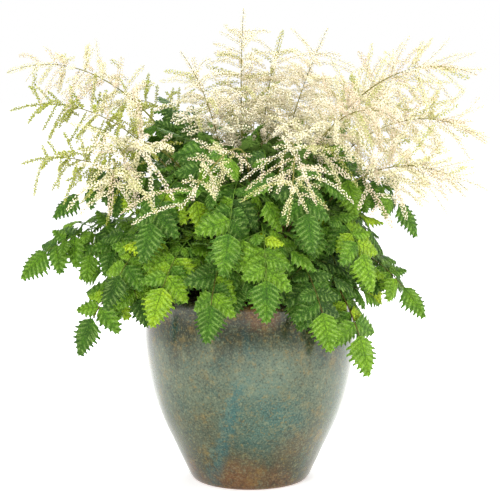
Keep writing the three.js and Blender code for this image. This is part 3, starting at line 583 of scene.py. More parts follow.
# Growth, in the order of the solids: stalks, spikes, then leaflets from the tips of the leaves back
flowers = [Flower(i, *numbers) for i, numbers in enumerate(PLUMES + BUDDING_PLUMES)]
leaves = [Leaf(i, *numbers) for i, numbers in enumerate(LEAVES)]
for leaf in leaves:
    leaf.grow_pinnae(PINNA_BACK, PINNA_LENGTH)
for flower in flowers:
    flower.grow_spikes()
for leaf in leaves:
    leaf.grow_leaflet(leaf.at(0), 0, END_LENGTH, 0, DROOP_END, END_MARGIN)
for leaf in leaves:
    for back, long, angle in PAIRS:
        leaf.grow_pair(leaf.at(back), long, angle, DROOP_PAIR)
for leaf in leaves:
    for pinna in leaf.pinnae:
        leaf.grow_leaflet(pinna.at(pinna.long), 0, PINNA_END_LENGTH, 0, DROOP_PINNA_END)
for leaf in leaves:
    for pinna in leaf.pinnae:
        place = pinna.at(pinna.long - PINNA_PAIR_BACK)
        leaf.grow_pair(place, PINNA_PAIR_LENGTH, PINNA_PAIR_ANGLE, DROOP_PINNA_PAIR)


# What fills in
def grow_fill_leaf(angle, radius, height):
    leaf = Leaf(len(leaves), round_axis(angle, radius, height), height + INNER_ARCH, INNER_SIZE)
    if leaf.curve is not None:
        leaves.append(leaf)


for i in range(INNER_LEAVES):
    share, rise = (i * GOLDEN_SHARE) % 1, (i * INNER_RISE_STEP + INNER_RISE_START) % 1
    radius = mixed(INNER_END_RADIUS, share) * (INNER_SPREAD - INNER_NARROWING * rise)
    grow_fill_leaf(math.radians(GOLDEN_ANGLE * i + INNER_TURN), radius, mixed(INNER_END_HEIGHT, rise))
seats += [seat_at(SEAT_COUNT + i) for i in range(RIM_LEAVES)]
for i in range(RIM_LEAVES):
    angle, share = 2 * math.pi * (i + 0.5) / RIM_LEAVES, (i * GOLDEN_SHARE) % 1
    grow_fill_leaf(angle, mixed(RIM_END_RADIUS, share), mixed(RIM_END_HEIGHT, share))

fill = {"clearance": EXTRA_CLEARANCE, "sizes": FILL_SIZES}
short_leaves = leaves[len(LEAVES) :]
for leaf in short_leaves:
    leaf.grow_pinnae(PINNA_BACK, PINNA_LENGTH, EXTRA_CLEARANCE)
for leaf in leaves:
    if leaf.reach > INNER_PINNA_BACK + INNER_PINNA_ROOM:
        leaf.grow_pinnae(INNER_PINNA_BACK, INNER_PINNA_LENGTH, EXTRA_CLEARANCE)
for leaf in short_leaves:
    leaf.grow_leaflet(leaf.at(0), 0, END_LENGTH, 0, DROOP_END, END_MARGIN, **fill)
    for back, long, angle in PAIRS:
        leaf.grow_pair(leaf.at(back), long, angle, DROOP_PAIR, **fill)
for leaf in leaves:
    for pinna in leaf.pinnae:
        if leaf in short_leaves or pinna.long == INNER_PINNA_LENGTH:
            leaf.grow_leaflet(pinna.at(pinna.long), 0, PINNA_END_LENGTH, 0, DROOP_PINNA_END, **fill)
            for back, long, angle in INNER_PAIRS:
                leaf.grow_pair(pinna.at(pinna.long - back), long, angle, DROOP_PINNA_PAIR, **fill)
        else:
            leaf.grow_pair(pinna.at(LOW_PAIR_AT), LOW_PAIR_LENGTH, BETWEEN_ANGLE, DROOP_PINNA_PAIR, **fill)
for leaf in leaves:
    for back in BETWEEN_PAIRS:
        leaf.grow_pair(leaf.at(back), BETWEEN_LENGTH, BETWEEN_ANGLE, DROOP_PAIR, **fill)

for flower in flowers:
    fans = list(flower.spikes)
    count = EXTRA_SPIKES[flower.index]
    swept = flower.index in SWEPT_PLUMES
    for i in range(count):
        share = EXTRA_FROM + EXTRA_SPAN * (i + 0.5) / count
        root = flower.root_at(share)
        nearest = min(flower.axis, key=lambda place: norm(place.point - root))
        more, turn, lift = flower.jitters(EXTRA_JITTERS)
        size = flower.longest * (EXTRA_LONGEST - EXTRA_TAPER * share) * (1 + more)
        azimuth = GOLDEN_ANGLE * i + turn
        rise = (SWEPT_RISE if swept else EXTRA_RISE) - RISE_FALL * share + lift
        sag = (SWEPT_SAG if swept else EXTRA_SAG) + flower.jitter(SAG_JITTER)
        bend = flower.jitter(BUD_BEND_JITTER if flower.budding else BEND_JITTER)
        flower.grow_spike(root, nearest, azimuth, size, rise, EXTRA_SPIKE_RADIUS, EXTRA_CLEARANCE, sag, bend)
    for k, spike in enumerate(fans):
        heading = unit(spike.end - spike.root)
        side = unit(cross(heading, vector(0.3, 0.2, 1)))
        for i, share in enumerate(SIDE_SPIKE_SHARES):
            place = Place(spike.at(share), heading, side)
            more, turn, lift = flower.jitters(SIDE_JITTERS)
            size = spike.reach * (SIDE_SPIKE_LONGEST - SIDE_SPIKE_TAPER * share) * (1 + more)
            azimuth = 180 * (i % 2) + SIDE_SPIKE_TURN * k + turn
            rise = SIDE_SPIKE_RISE + lift
            flower.grow_spike(place.point, place, azimuth, size, rise, SIDE_SPIKE_RADIUS, EXTRA_CLEARANCE)
for index, share, heading, reach, sag in ARCHES:
    flower = flowers[index]
    root, heading = flower.root_at(share), unit(vector(*heading))
    flower.spikes.append(Spike(root, heading, reach, EXTRA_SPIKE_RADIUS, sag, 0.0))


# Meshes
def linked(name, data):
    thing = bpy.data.objects.new(name, data)
    bpy.context.scene.collection.objects.link(thing)
    return thing


class Body:
    """Gathers points, triangles and a mark of three numbers at each point, and makes one object of them."""

    def __init__(self):
        self.points, self.faces, self.marks, self.count = [], [], [], 0

    def add(self, points, faces, marks):
        self.points.append(np.asarray(points, dtype=float))
        self.faces.append(np.asarray(faces, dtype=int) + self.count)
        self.marks.append(np.broadcast_to(np.asarray(marks, dtype=float), (len(points), 3)))
        self.count += len(points)

    def made(self, name, material, crease=None):
        points = np.concatenate(self.points) * METRES
        faces = np.concatenate(self.faces)
        mesh = bpy.data.meshes.new(name)
        mesh.vertices.add(len(points))
        mesh.vertices.foreach_set("co", points.ravel())
        mesh.loops.add(faces.size)
        mesh.loops.foreach_set("vertex_index", faces.ravel())
        mesh.polygons.add(len(faces))
        mesh.polygons.foreach_set("loop_start", np.arange(0, faces.size, 3))
        mesh.update(calc_edges=True)
        mark = mesh.attributes.new("mark", "FLOAT_VECTOR", "POINT")
        mark.data.foreach_set("vector", np.concatenate(self.marks).ravel())
        if crease is not None:
            ends = np.empty(len(mesh.edges) * 2, dtype=np.int32)
            mesh.edges.foreach_get("vertices", ends)
            sharp = crease(np.concatenate(self.marks))[ends].reshape(-1, 2).all(axis=1)
            mesh.attributes.new("sharp_edge", "BOOLEAN", "EDGE").data.foreach_set("value", sharp)
        mesh.shade_smooth()
        mesh.materials.append(material)
        return linked(name, mesh)


def triangles(a, b, c):
    return np.stack(np.broadcast_arrays(a, b, c), axis=-1)


def level_ring(sides, radius, height):
    turns = 2 * np.pi * np.arange(sides) / sides
    return np.column_stack([radius * np.cos(turns), radius * np.sin(turns), np.full(sides, height)])


def closed_rings(rings, start, end):
    """Points and triangles of rings in a row, drawn to a point at each end."""
    k = np.arange(len(rings[0]))
    sides, ahead = len(k), np.roll(k, -1)
    last, count = (len(rings) - 1) * sides, len(rings) * sides
    faces = []
    for low in range(0, last, sides):
        high = low + sides
        faces += [triangles(low + k, low + ahead, high + ahead), triangles(low + k, high + ahead, high + k)]
    faces += [triangles(ahead, k, count), triangles(last + k, last + ahead, count + 1)]
    return np.concatenate([*rings, [start, end]]), np.concatenate(faces)


def add_tube(body, points, radii, sides, mark):
    """A round tube along a polyline, from one radius to another, with a point at each end."""
    tangents = unit(np.gradient(points, axis=0))
    side = unit(cross(tangents[0], vector(0.31, 0.17, 0.93)))
    radii = np.linspace(*radii, len(points))
    circle = level_ring(sides, 1, 0)
    rings = []
    for point, tangent, radius in zip(points, tangents, radii):
        side = unit(side - tangent * dots(side, tangent))
        up = cross(tangent, side)
        rings.append(point + radius * (circle[:, :1] * side + circle[:, 1:2] * up))
    root, tip = points[0] - tangents[0] * radii[0] * 0.3, points[-1] + tangents[-1] * radii[-1]
    body.add(*closed_rings(rings, root, tip), mark)


# Leaflet lying flat: rows of points along the side veins and between them, from the midrib to a doubly
# toothed margin. A mark is [vein phase, column, tint]; the column runs from 0 at the midrib to 1 at the
# margin above and on to 2 at the midrib below, and is 3 on a stalk.
COLUMNS = (0.38, 0.74)
TOOTH_OUT, NOTCH_OUT, TOOTH_AHEAD, NOTCH_BACK = 1.22, 0.68, 0.05, -0.018
PLEAT, TOOTH_SINK, NOTCH_RISE = 0.028, -0.026, 0.012
ROOT_SPREAD, END_SPREAD, VEIN_BEND, SPINE_LEAD = 1.3, 0.76, 0.85, 0.82
STALK_MARK = (0, 3, 0)
OUTLINE = np.array(
    [
        [0, 0.04, 0.1, 0.19, 0.3, 0.42, 0.56, 0.7, 0.82, 0.92, 1],
        [0, 0.12, 0.22, 0.3, 0.335, 0.325, 0.275, 0.2, 0.125, 0.06, 0],
    ]
)


def leaflet_pattern(veins, breadth):
    rows = 2 * veins
    points, marks = [], []

    def point(forward, out, rise, phase, column):
        points.append((forward, out, rise))
        marks.append((phase, column))
        return len(points) - 1

    base, tip = point(0, 0, 0, 0, 0), point(1, 0, -0.004, veins, 1)
    roots, ends = ((np.arange(rows + 1) / rows) ** spread for spread in (ROOT_SPREAD, END_SPREAD))
    midrib = [base, *(point(roots[j], 0, 0, j / 2, 0) for j in range(1, rows)), tip]
    faces = []
    for side in (1, -1):
        low = [base] * 4
        for j in range(1, rows + 1):
            vein = j % 2 == 0
            if j == rows:
                high = [tip] * 4
            else:
                reach = breadth * np.interp(ends[j], *OUTLINE)
                high = [midrib[j]]
                for column in COLUMNS:
                    forward = roots[j] + (ends[j] - roots[j]) * column**VEIN_BEND
                    rise = (0.0 if vein else PLEAT) * (1 - 0.2 * column)
                    high.append(point(forward, side * reach * column, rise, j / 2, column))
                out = reach * (TOOTH_OUT if vein else NOTCH_OUT)
                forward = ends[j] + (TOOTH_AHEAD if vein else NOTCH_BACK)
                high.append(point(forward, side * out, TOOTH_SINK if vein else NOTCH_RISE, j / 2, 1))
            inner = [[low[k], low[k + 1], high[k + 1], high[k]] for k in range(2)]
            strip = [t for a, b, c, d in inner for t in ([a, b, c], [a, c, d])]
            a, notch, tooth, b = low[2], low[3], high[3], high[2]
            # Small teeth on the flanks of a large one: two towards the base and one towards the tip
            start, end = np.array(points[notch]), np.array(points[tooth])

            def nick(share, outward):
                place = start * (1 - share) + end * share
                place = place + (-0.3 * outward, side * outward, -0.3 * outward)
                return point(*place, j / 2 - 0.5 + share / 2, 1)

            if 1 < j < rows and vein:
                first, gap, second = nick(0.26, 0.036), nick(0.46, 0), nick(0.7, 0.032)
                strip += [[a, notch, first], [a, first, gap], [a, gap, b]]
                strip += [[b, gap, second], [b, second, tooth]]
            elif 1 < j < rows:
                first = nick(0.5, 0.024)
                strip += [[a, notch, first], [a, first, b], [b, first, tooth]]
            else:
                strip += [[a, notch, tooth], [a, tooth, b]]
            strip = [t for t in strip if len(set(t)) == 3]
            faces += strip if side == 1 else [t[::-1] for t in strip]
            low = high
    return closed_sheet(vector(*points), vector(*marks), np.array(faces), np.array(midrib[1:-1]))


def closed_sheet(points, marks, faces, spine):
    """Closes a sheet to a body that is thin at its margin, with a plainer underside from the spine out."""
    loop = boundary(faces)
    nearest = np.abs(points[loop][:, None, 0] * SPINE_LEAD - points[spine][None, :, 0]).argmin(axis=1)
    below = len(points) + np.arange(len(spine))
    faces = [*faces]
    for k in range(len(loop)):
        a, b = loop[k], loop[(k + 1) % len(loop)]
        c, d = below[nearest[k]], below[nearest[(k + 1) % len(loop)]]
        faces += [t for t in ([b, a, c], [b, c, d]) if len(set(t)) == 3]
    depth = np.concatenate([np.zeros(len(points)), np.ones(len(spine))])
    marks = np.concatenate([marks, marks[spine] * (1, -1) + (0, 2)])
    return np.concatenate([points, points[spine]]), marks, depth, np.array(faces)


def boundary(faces):
    """The points along a sheet's open edge, in order."""
    edges = {(t[k], t[(k + 1) % 3]) for t in faces.tolist() for k in range(3)}
    after = {a: b for a, b in edges if (b, a) not in edges}
    loop = [min(after)]
    while after[loop[-1]] != loop[0]:
        loop.append(after[loop[-1]])
    return np.array(loop)


SIDE_PATTERN = leaflet_pattern(6, 1.0)
END_PATTERN = leaflet_pattern(8, 1.04)
# Blade: its thickness and how much it gains with size, waves, wrinkles, curl along and across, unevenness
BLADE_THICK, THICK_GAIN = 0.6, 0.012
WAVE, WAVES_ALONG, WRINKLE, CURLS, UNEVEN = 0.026, 1.4, 0.012, (0.2, 0.45), (0.05, 0.1)


def add_leaflet(body, leaflet, tint, jitter):
    points, marks, depth, faces = END_PATTERN if leaflet.margin is END_MARGIN else SIDE_PATTERN
    forward, out, rise = points.T
    wave = WAVE * np.sin(2 * np.pi * (forward * WAVES_ALONG + jitter(0.5))) * np.abs(out) / 0.3
    wrinkle = np.sin(11 * forward + 23 * out + jitter(3)) * np.sin(17 * out - 9 * forward + jitter(3))
    curl = jitter(CURLS[0]) * out * forward + jitter(CURLS[1]) * out * out
    forward = forward * (1 + jitter(UNEVEN[0]) * out)
    out = out * (1 + jitter(UNEVEN[1]) * np.sign(out))
    under = BLADE_THICK + THICK_GAIN * leaflet.size
    spots = leaflet.spot(forward, out, rise + wave + WRINKLE * wrinkle + curl)
    spots -= leaflet.normal * (under * depth)[:, None]
    body.add(spots, faces, np.column_stack([marks, np.full(len(points), tint)]))


def srgb(*levels):
    linear = [c / 255 / 12.92 if c <= 10 else ((c / 255 + 0.055) / 1.055) ** 2.4 for c in levels]
    return (*linear, 1)


class Shader:
    """A material, or a world, made of nodes."""

    def __init__(self, owner):
        self.owner = owner
        owner.use_nodes = True
        self.tree = owner.node_tree
        self.tree.nodes.clear()

    def node(self, kind, inputs=(), **settings):
        node = self.tree.nodes.new("ShaderNode" + kind)
        for key, value in settings.items():
            setattr(node, key, value)
        for key, value in dict(inputs).items():
            if isinstance(value, bpy.types.NodeSocket):
                self.tree.links.new(value, node.inputs[key])
            else:
                node.inputs[key].default_value = value
        return node

    def math(self, operation, *values):
        return self.node("Math", dict(enumerate(values)), operation=operation).outputs[0]

    def plus(self, a, b):
        return self.math("ADD", a, b)

    def times(self, a, b):
        return self.math("MULTIPLY", a, b)

    def mark(self):
        attribute = self.node("Attribute", attribute_name="mark")
        return self.node("SeparateXYZ", {0: attribute.outputs["Vector"]}).outputs

    def place(self):
        return self.node("TexCoord").outputs["Object"]

    def height(self):
        return self.node("SeparateXYZ", {0: self.place()}).outputs[2]

    def noise(self, scale, detail=3.0, roughness=0.5, vector=None, distortion=0.0):
        inputs = {"Scale": scale, "Detail": detail, "Roughness": roughness, "Distortion": distortion}
        inputs["Vector"] = vector or self.place()
        return self.node("TexNoise", inputs).outputs["Fac"]

    def cells(self, scale):
        return self.node("TexVoronoi", {"Vector": self.place(), "Scale": scale}).outputs["Distance"]

    def range(self, value, start, end, low=0.0, high=1.0, easing="SMOOTHSTEP"):
        inputs = {"Value": value, "From Min": start, "From Max": end, "To Min": low, "To Max": high}
        return self.node("MapRange", inputs, interpolation_type=easing).outputs[0]

    def wavering(self, value, noise, reach, start=0.3, end=0.7):
        """A value moved by a noise, up to a reach each way."""
        return self.plus(value, self.range(noise, start, end, -reach, reach))

    def mix(self, share, a, b):
        return self.node("Mix", {0: share, 6: a, 7: b}, data_type="RGBA").outputs[2]

    def laid(self, colour, *layers):
        """A colour with tones laid over it in turn, each by its share."""
        for share, tone in layers:
            colour = self.mix(share, colour, srgb(*tone))
        return colour

    def ramp(self, value, *stops):
        node = self.node("ValToRGB", {"Fac": value})
        elements = node.color_ramp.elements
        while len(elements) < len(stops):
            elements.new(0.5)
        for element, (position, tone) in zip(elements, stops):
            element.position, element.color = position, srgb(*tone)
        return node.outputs[0]

    def bump(self, height, strength, distance):
        inputs = {"Height": height, "Strength": strength, "Distance": distance}
        return self.node("Bump", inputs).outputs[0]

    def finish(self, **inputs):
        sockets = {key.replace("_", " "): value for key, value in inputs.items()}
        shader = self.node("BsdfPrincipled", sockets)
        self.node("OutputMaterial", {"Surface": shader.outputs[0]})
        return self.owner


def leaf_material():
    """Blades with sunken veins painted darker as shade, painted highlight on the ridges between them and on
    the tops of small puckers, painted shade in the creases between the puckers; each leaflet of its own
    green, darker inside the plant as painted shade, pale below; stalks green to red.
    """
    s = Shader(bpy.data.materials.new("leaf"))
    phase, column, tint = s.mark()
    to_vein = s.math("ABSOLUTE", s.math("SUBTRACT", s.math("FRACT", s.plus(phase, 0.5)), 0.5))
    above = s.math("MINIMUM", column, s.math("SUBTRACT", 2.0, column))
    # Vein lines: on the blade they are painted shade along the sunken veins and midrib; below they mark the
    # paler veins, and they sink the veins in the bump
    lines = s.math("MAXIMUM", s.range(to_vein, 0.0, 0.13, 1.0, 0.0), s.range(above, 0.0, 0.09, 1.0, 0.0))
    # Painted highlight on the raised ridges between the veins
    ridge_highlight = s.times(s.range(to_vein, 0.2, 0.5), s.range(above, 0.15, 0.5))
    mottle, patches, fine = s.noise(60.0, 4.0), s.noise(240.0, 3.0), s.noise(900.0, 2.0)
    # Small puckers, raised in the bump: painted shade in the creases between them, painted highlight on their
    # tops
    cells = s.cells(340.0)
    blade = s.laid(
        s.ramp(
            s.wavering(tint, mottle, 0.09),
            (0.0, (24, 62, 4)),
            (0.3, (58, 106, 12)),
            (0.6, (116, 160, 22)),
            (1.0, (182, 208, 20)),
        ),
        # Painted highlight on the ridges
        (s.times(ridge_highlight, 0.3), (182, 210, 118)),
        # Painted shade along the sunken veins and midrib
        (s.times(lines, 0.54), (20, 48, 2)),
        (s.range(patches, 0.35, 0.7, 0.0, 0.3), (30, 66, 12)),
        # Painted shade in the creases between the puckers, then painted highlight on their tops
        (s.range(cells, 0.4, 0.75, 0.0, 0.4), (20, 48, 2)),
        (s.range(cells, 0.35, 0.1, 0.0, 0.25), (156, 194, 76)),
        (s.range(fine, 0.4, 0.8, 0.0, 0.2), (140, 176, 60)),
    )
    under = s.mix(s.times(lines, 0.35), srgb(112, 146, 66), srgb(150, 174, 92))
    blade = s.mix(s.range(column, 1.02, 1.12), blade, under)
    risen = s.wavering(s.range(s.height(), 0.3, 0.46), mottle, 0.2)
    stalk = s.ramp(risen, (0.0, (84, 44, 26)), (0.5, (86, 88, 30)), (1.0, (88, 124, 34)))
    colour = s.mix(s.range(column, 2.4, 2.6), blade, stalk)
    relief = s.plus(s.times(lines, -0.6), s.times(fine, 0.5))
    relief = s.plus(s.plus(relief, s.times(patches, 1.4)), s.times(cells, -1.2))
    rough, normal = s.range(fine, 0.3, 0.7, 0.42, 0.6), s.bump(relief, 0.7, 0.0012)
    return s.finish(Base_Color=colour, Roughness=rough, Normal=normal, Specular_IOR_Level=0.18)


def floret_material():
    """Cream florets on green-yellow stalks, each spike a little greener or browner than the next."""
    s = Shader(bpy.data.materials.new("floret"))
    tint, level, stalk = s.mark()
    fine = s.noise(700.0, 2.0)
    open_cream = s.ramp(
        tint,
        (0.0, (152, 162, 34)),
        (0.3, (228, 222, 170)),
        (0.6, (253, 247, 224)),
        (1.0, (228, 208, 182)),
    )
    heart = s.mix(s.range(tint, 0.0, 0.5), srgb(140, 150, 52), srgb(224, 208, 156))
    petal = s.mix(s.range(s.wavering(level, fine, 0.15), 0.1, 0.6), heart, open_cream)
    green = s.mix(s.range(fine, 0.3, 0.7), srgb(112, 108, 44), srgb(140, 136, 62))
    rough, normal = s.range(fine, 0.3, 0.7, 0.62, 0.8), s.bump(fine, 0.3, 0.0004)
    return s.finish(Base_Color=s.mix(stalk, petal, green), Roughness=rough, Normal=normal)


def stem_material():
    s = Shader(bpy.data.materials.new("flower_stem"))
    grain, fine = s.noise(90.0, 4.0), s.noise(1200.0, 2.0)
    level = s.wavering(s.range(s.height(), 0.3, 0.62), grain, 0.2)
    colour = s.ramp(level, (0.1, (96, 48, 30)), (0.5, (104, 86, 40)), (1.0, (122, 124, 50)))
    rough, normal = s.range(grain, 0.3, 0.7, 0.4, 0.6), s.bump(fine, 0.4, 0.0004)
    return s.finish(Base_Color=colour, Roughness=rough, Normal=normal)


def soil_material():
    s = Shader(bpy.data.materials.new("potting_soil"))
    clods = s.noise(160.0, 6.0, 0.65)
    colour = s.ramp(clods, (0.3, (34, 22, 15)), (0.55, (66, 46, 32)), (0.75, (98, 74, 54)))
    normal = s.bump(s.plus(clods, s.times(s.cells(260.0), 0.5)), 0.8, 0.003)
    return s.finish(Base_Color=colour, Roughness=0.95, Normal=normal)


def glaze_material():
    """Mottled glaze: olive black at the lip, grey green with teal and ochre below, rust at the foot."""
    s = Shader(bpy.data.materials.new("glaze"))
    place = s.place()
    x, y, height = s.node("SeparateXYZ", {0: place}).outputs
    drawn = s.node("Mapping", {"Vector": place, "Scale": (1, 1, 0.22)}).outputs[0]
    runs = s.noise(17.0, 5.0, 0.6, drawn, 0.6)
    clouds, blots = s.noise(9.0, 6.0, 0.62), s.noise(30.0, 7.0, 0.74)
    mottle, flecks, speckle = s.noise(70.0, 8.0, 0.8), s.noise(180.0, 4.0, 0.7), s.noise(300.0, 3.0, 0.7)
    teal, rust, dark = (30, 76, 72), (116, 70, 26), (22, 30, 18)

    def patch(share, centre, reach):
        """A ragged spot round a point: its share inside it and 0 beyond its reach."""
        distance = s.node("VectorMath", {0: place, 1: centre}, operation="DISTANCE").outputs["Value"]
        ragged = s.wavering(distance, mottle, 0.3 * reach)
        return s.times(s.range(ragged, 0.3 * reach, reach, 1.0, 0.0), share)

    level = s.wavering(height, runs, 0.04, 0.25, 0.75)
    # A slanting streak in front, from the shoulder to the foot
    streak = s.math("MULTIPLY_ADD", height, -0.2545, s.plus(x, 0.068))
    streak = s.range(s.math("ABSOLUTE", s.wavering(streak, mottle, 0.014)), 0.002, 0.02, 1.0, 0.0)
    streak = s.times(s.times(streak, s.range(height, 0.24, 0.19)), s.range(y, -0.03, -0.09))
    at_foot = s.times(s.range(level, 0.0, 0.04, 1.0, 0.0), s.range(mottle, 0.42, 0.6))
    at_lip = s.times(s.range(level, 0.27, 0.32), s.range(clouds, 0.52, 0.62))
    glaze = s.laid(
        s.ramp(
            s.math("DIVIDE", level, 0.34),
            (0.0, (58, 46, 26)),
            (0.14, (62, 64, 42)),
            (0.45, (72, 84, 64)),
            (0.62, (80, 92, 72)),
            (0.8, (40, 48, 28)),
            (1.0, (30, 32, 16)),
        ),
        (s.range(clouds, 0.5, 0.75, 0.0, 0.6), (52, 54, 32)),
        (s.range(runs, 0.54, 0.72, 0.0, 0.6), teal),
        (s.range(blots, 0.53, 0.66, 0.0, 0.5), (126, 104, 46)),
        (s.range(blots, 0.47, 0.36, 0.0, 0.5), (30, 70, 62)),
        (s.times(streak, 0.6), (20, 86, 88)),
        (patch(0.4, (0.03, -0.16, 0.13), 0.09), (40, 90, 84)),
        (patch(0.36, (0.02, -0.18, 0.225), 0.07), (108, 130, 112)),
        (s.times(at_foot, 0.6), rust),
        (patch(0.5, (-0.012, -0.12, 0.02), 0.06), rust),
        (patch(0.18, (0.075, -0.13, 0.08), 0.05), rust),
        (patch(0.6, (-0.175, -0.06, 0.31), 0.05), rust),
        (patch(0.5, (0.02, -0.185, 0.32), 0.04), rust),
        (s.times(at_lip, 0.5), rust),
        (s.range(mottle, 0.52, 0.68, 0.0, 0.5), (122, 130, 98)),
        (s.range(mottle, 0.48, 0.34, 0.0, 0.55), dark),
        (s.range(speckle, 0.52, 0.68, 0.0, 0.4), (132, 136, 102)),
        (s.range(speckle, 0.48, 0.34, 0.0, 0.6), (16, 22, 12)),
        (s.range(flecks, 0.54, 0.68, 0.0, 0.5), (126, 102, 40)),
    )
    colour = s.mix(s.range(height, 0.0025, 0.001), glaze, srgb(132, 96, 68))
    normal = s.bump(s.plus(s.times(mottle, 0.5), s.times(runs, 0.8)), 0.4, 0.0014)
    rough = s.range(speckle, 0.3, 0.7, 0.08, 0.2)
    gloss = {"Specular_IOR_Level": 0.3, "Coat_Weight": 0.15}
    return s.finish(Base_Color=colour, Roughness=rough, Normal=normal, **gloss)


def smoothed(profile):
    """A profile rounded through its points, with steps between them."""
    points = np.array(profile, dtype=float)
    ends = np.concatenate([[2 * points[0] - points[1]], points, [2 * points[-1] - points[-2]]])
    out = []
    for i in range(1, len(ends) - 2):
        p0, p1, p2, p3 = ends[i - 1 : i + 3]
        t = (np.arange(PROFILE_STEPS) / PROFILE_STEPS)[:, None]
        square, cube = 2 * p0 - 5 * p1 + 4 * p2 - p3, 3 * p1 - p0 - 3 * p2 + p3
        out.append(0.5 * (2 * p1 + (p2 - p0) * t + square * t**2 + cube * t**3))
    return np.concatenate([*out, points[-1:]])


def pot(material):
    """The turned shell, with its drain holes cut through the floor."""
    foot = [(60, 0), (98, 0), (102.4, 0.6), (103.8, 2)]
    lip = [(186.6, 329), (185, 333), (182, 335.4), (178, 336), (174.6, 335.4), (172.4, 333), (171.2, 328)]
    outside, inside = smoothed(POT_OUTSIDE[:-1]), smoothed(POT_INSIDE[1:])
    profile = [*foot, *outside[1:], *lip, *inside, (60, POT_FLOOR)]
    rings = [level_ring(POT_SIDES, radius, z) for radius, z in profile]
    shell, cutters = Body(), Body()
    shell.add(*closed_rings(rings, (0, 0, 0), (0, 0, POT_FLOOR)), (0, 0, 0))
    for i in range(DRAIN_COUNT):
        centre = round_axis(2 * math.pi * (i + 0.25) / DRAIN_COUNT, DRAIN_FROM_AXIS, 0)
        ends = [centre + (0, 0, z) for z in DRAIN_ENDS]
        rings = [level_ring(DRAIN_SIDES, DRAIN_RADIUS, 0) + end for end in ends]
        cutters.add(*closed_rings(rings, *ends), (0, 0, 0))
    piece, cutter = shell.made("glazed_pot", material), cutters.made("drain_cutter", material)
    cut = piece.modifiers.new("drain", "BOOLEAN")
    cut.operation, cut.solver, cut.object = "DIFFERENCE", "EXACT", cutter
    shape = piece.evaluated_get(bpy.context.evaluated_depsgraph_get())
    mesh = bpy.data.meshes.new_from_object(shape)
    piece.modifiers.clear()
    piece.data = mesh
    bpy.data.objects.remove(cutter)
    mesh.set_sharp_from_angle(angle=math.radians(CREASE_ANGLE))
    return piece


def soil(material):
    """A low uneven bed inside the pot, with clods on it."""
    numbers = np.random.default_rng(SOIL_SEED)
    edge = POT_INSIDE[1][0] - SEAT_GAP - SOIL_INSET
    waves = numbers.uniform(-1, 1, (9, 4))
    wall = [(radius - 1.6 * SEAT_GAP - SOIL_INSET, z) for radius, z in POT_INSIDE[:1:-1]]
    wall[0] = (wall[0][0], wall[0][1] + SEAT_GAP)
    rings = [level_ring(SOIL_SIDES, radius, z) for radius, z in wall]
    for radius in edge * np.linspace(0, 1, SOIL_RINGS + 1)[:0:-1]:
        ring = level_ring(SOIL_SIDES, radius, SOIL_HEIGHT - 1)
        fade = min(1, (edge - radius) / SOIL_FADE)
        rough = numbers.uniform(-1.0, 1.0, SOIL_SIDES)
        lumps = np.sin(ring[:, :2] @ waves[:, :2].T * LUMP_PITCH + waves[:, 2] * 6).sum(axis=1)
        ring[:, 2] += fade * (LUMP_HEIGHT * lumps + rough)
        rings.append(ring)
    body = Body()
    ends = (0, 0, POT_FLOOR + SEAT_GAP), (0, 0, SOIL_HEIGHT)
    body.add(*closed_rings(rings, *ends), (0, 0, 0))
    return body.made("soil_bed", material)


def floret(ring, inner, outer, levels):
    """A small solid round the z axis, with z outward: its points, how open it is at each, its triangles."""
    points, faces = closed_rings([ring], (0, 0, inner), (0, 0, outer))
    return points, np.array(levels), faces


# Open floret: a star of petals with a pointed base. Bud: a bead.
STAR = floret(
    level_ring(6, np.array([1.12, 0.6] * 3), [0.4, 0.0] * 3), -0.7, 0.45, [*[1.0, 0.6] * 3, 0.0, 0.35]
)
BEAD = floret(level_ring(4, 1, 0), -0.9, 1.1, [0.5, 0.5, 0.5, 0.5, 0.1, 0.9])

# Florets of a spike: [reach from its axis, spacing along it, width], and how far its colour ranges
MAIN_SPIKE, FILL_SPIKE = (5.8, 1.2, 2.1), (5.0, 1.5, 2.1)
LOOSE_SPIKE, BUD_SPIKE = (4.2, 1.7, 1.7), (3.6, 1.7, 1.9)
# UPRIGHT_TINT keeps the upright middle plumes to the palest creams: painted light against the shade they
# stand in
BUD_TINT, FLORET_TINT, UPRIGHT_TINT = (0.0, 0.14), (0.28, 1.0), (0.45, 0.78)
YOUNG_SPIKES, YOUNG_TINT, TINT_JITTER = 0.12, 0.35, 0.12
FLORET_TURN, FLORET_SINK = 20, 1.5
FLORET_LEANS, FLORET_SIZES, FLORET_DEPTHS = (-0.1, 0.6), (0.8, 1.15), (0.7, 1.1)
# Radii of the stalks at root and tip, and the marks that colour those of a plume
STEM_RADII, AXIS_RADII, SPIKE_RADII = (2.2, 1.6), (1.3, 0.5), (0.55, 0.35)
RACHIS_RADII, PINNA_RADII, BUD_STEM_RADII = (2.0, 0.6), (0.9, 0.5), (2.1, 1.5)
AXIS_MARK, SPIKE_MARK = (0.3, 0.2, 1), (0.3, 0.2, 0.5)
STALK_POINTS = 24


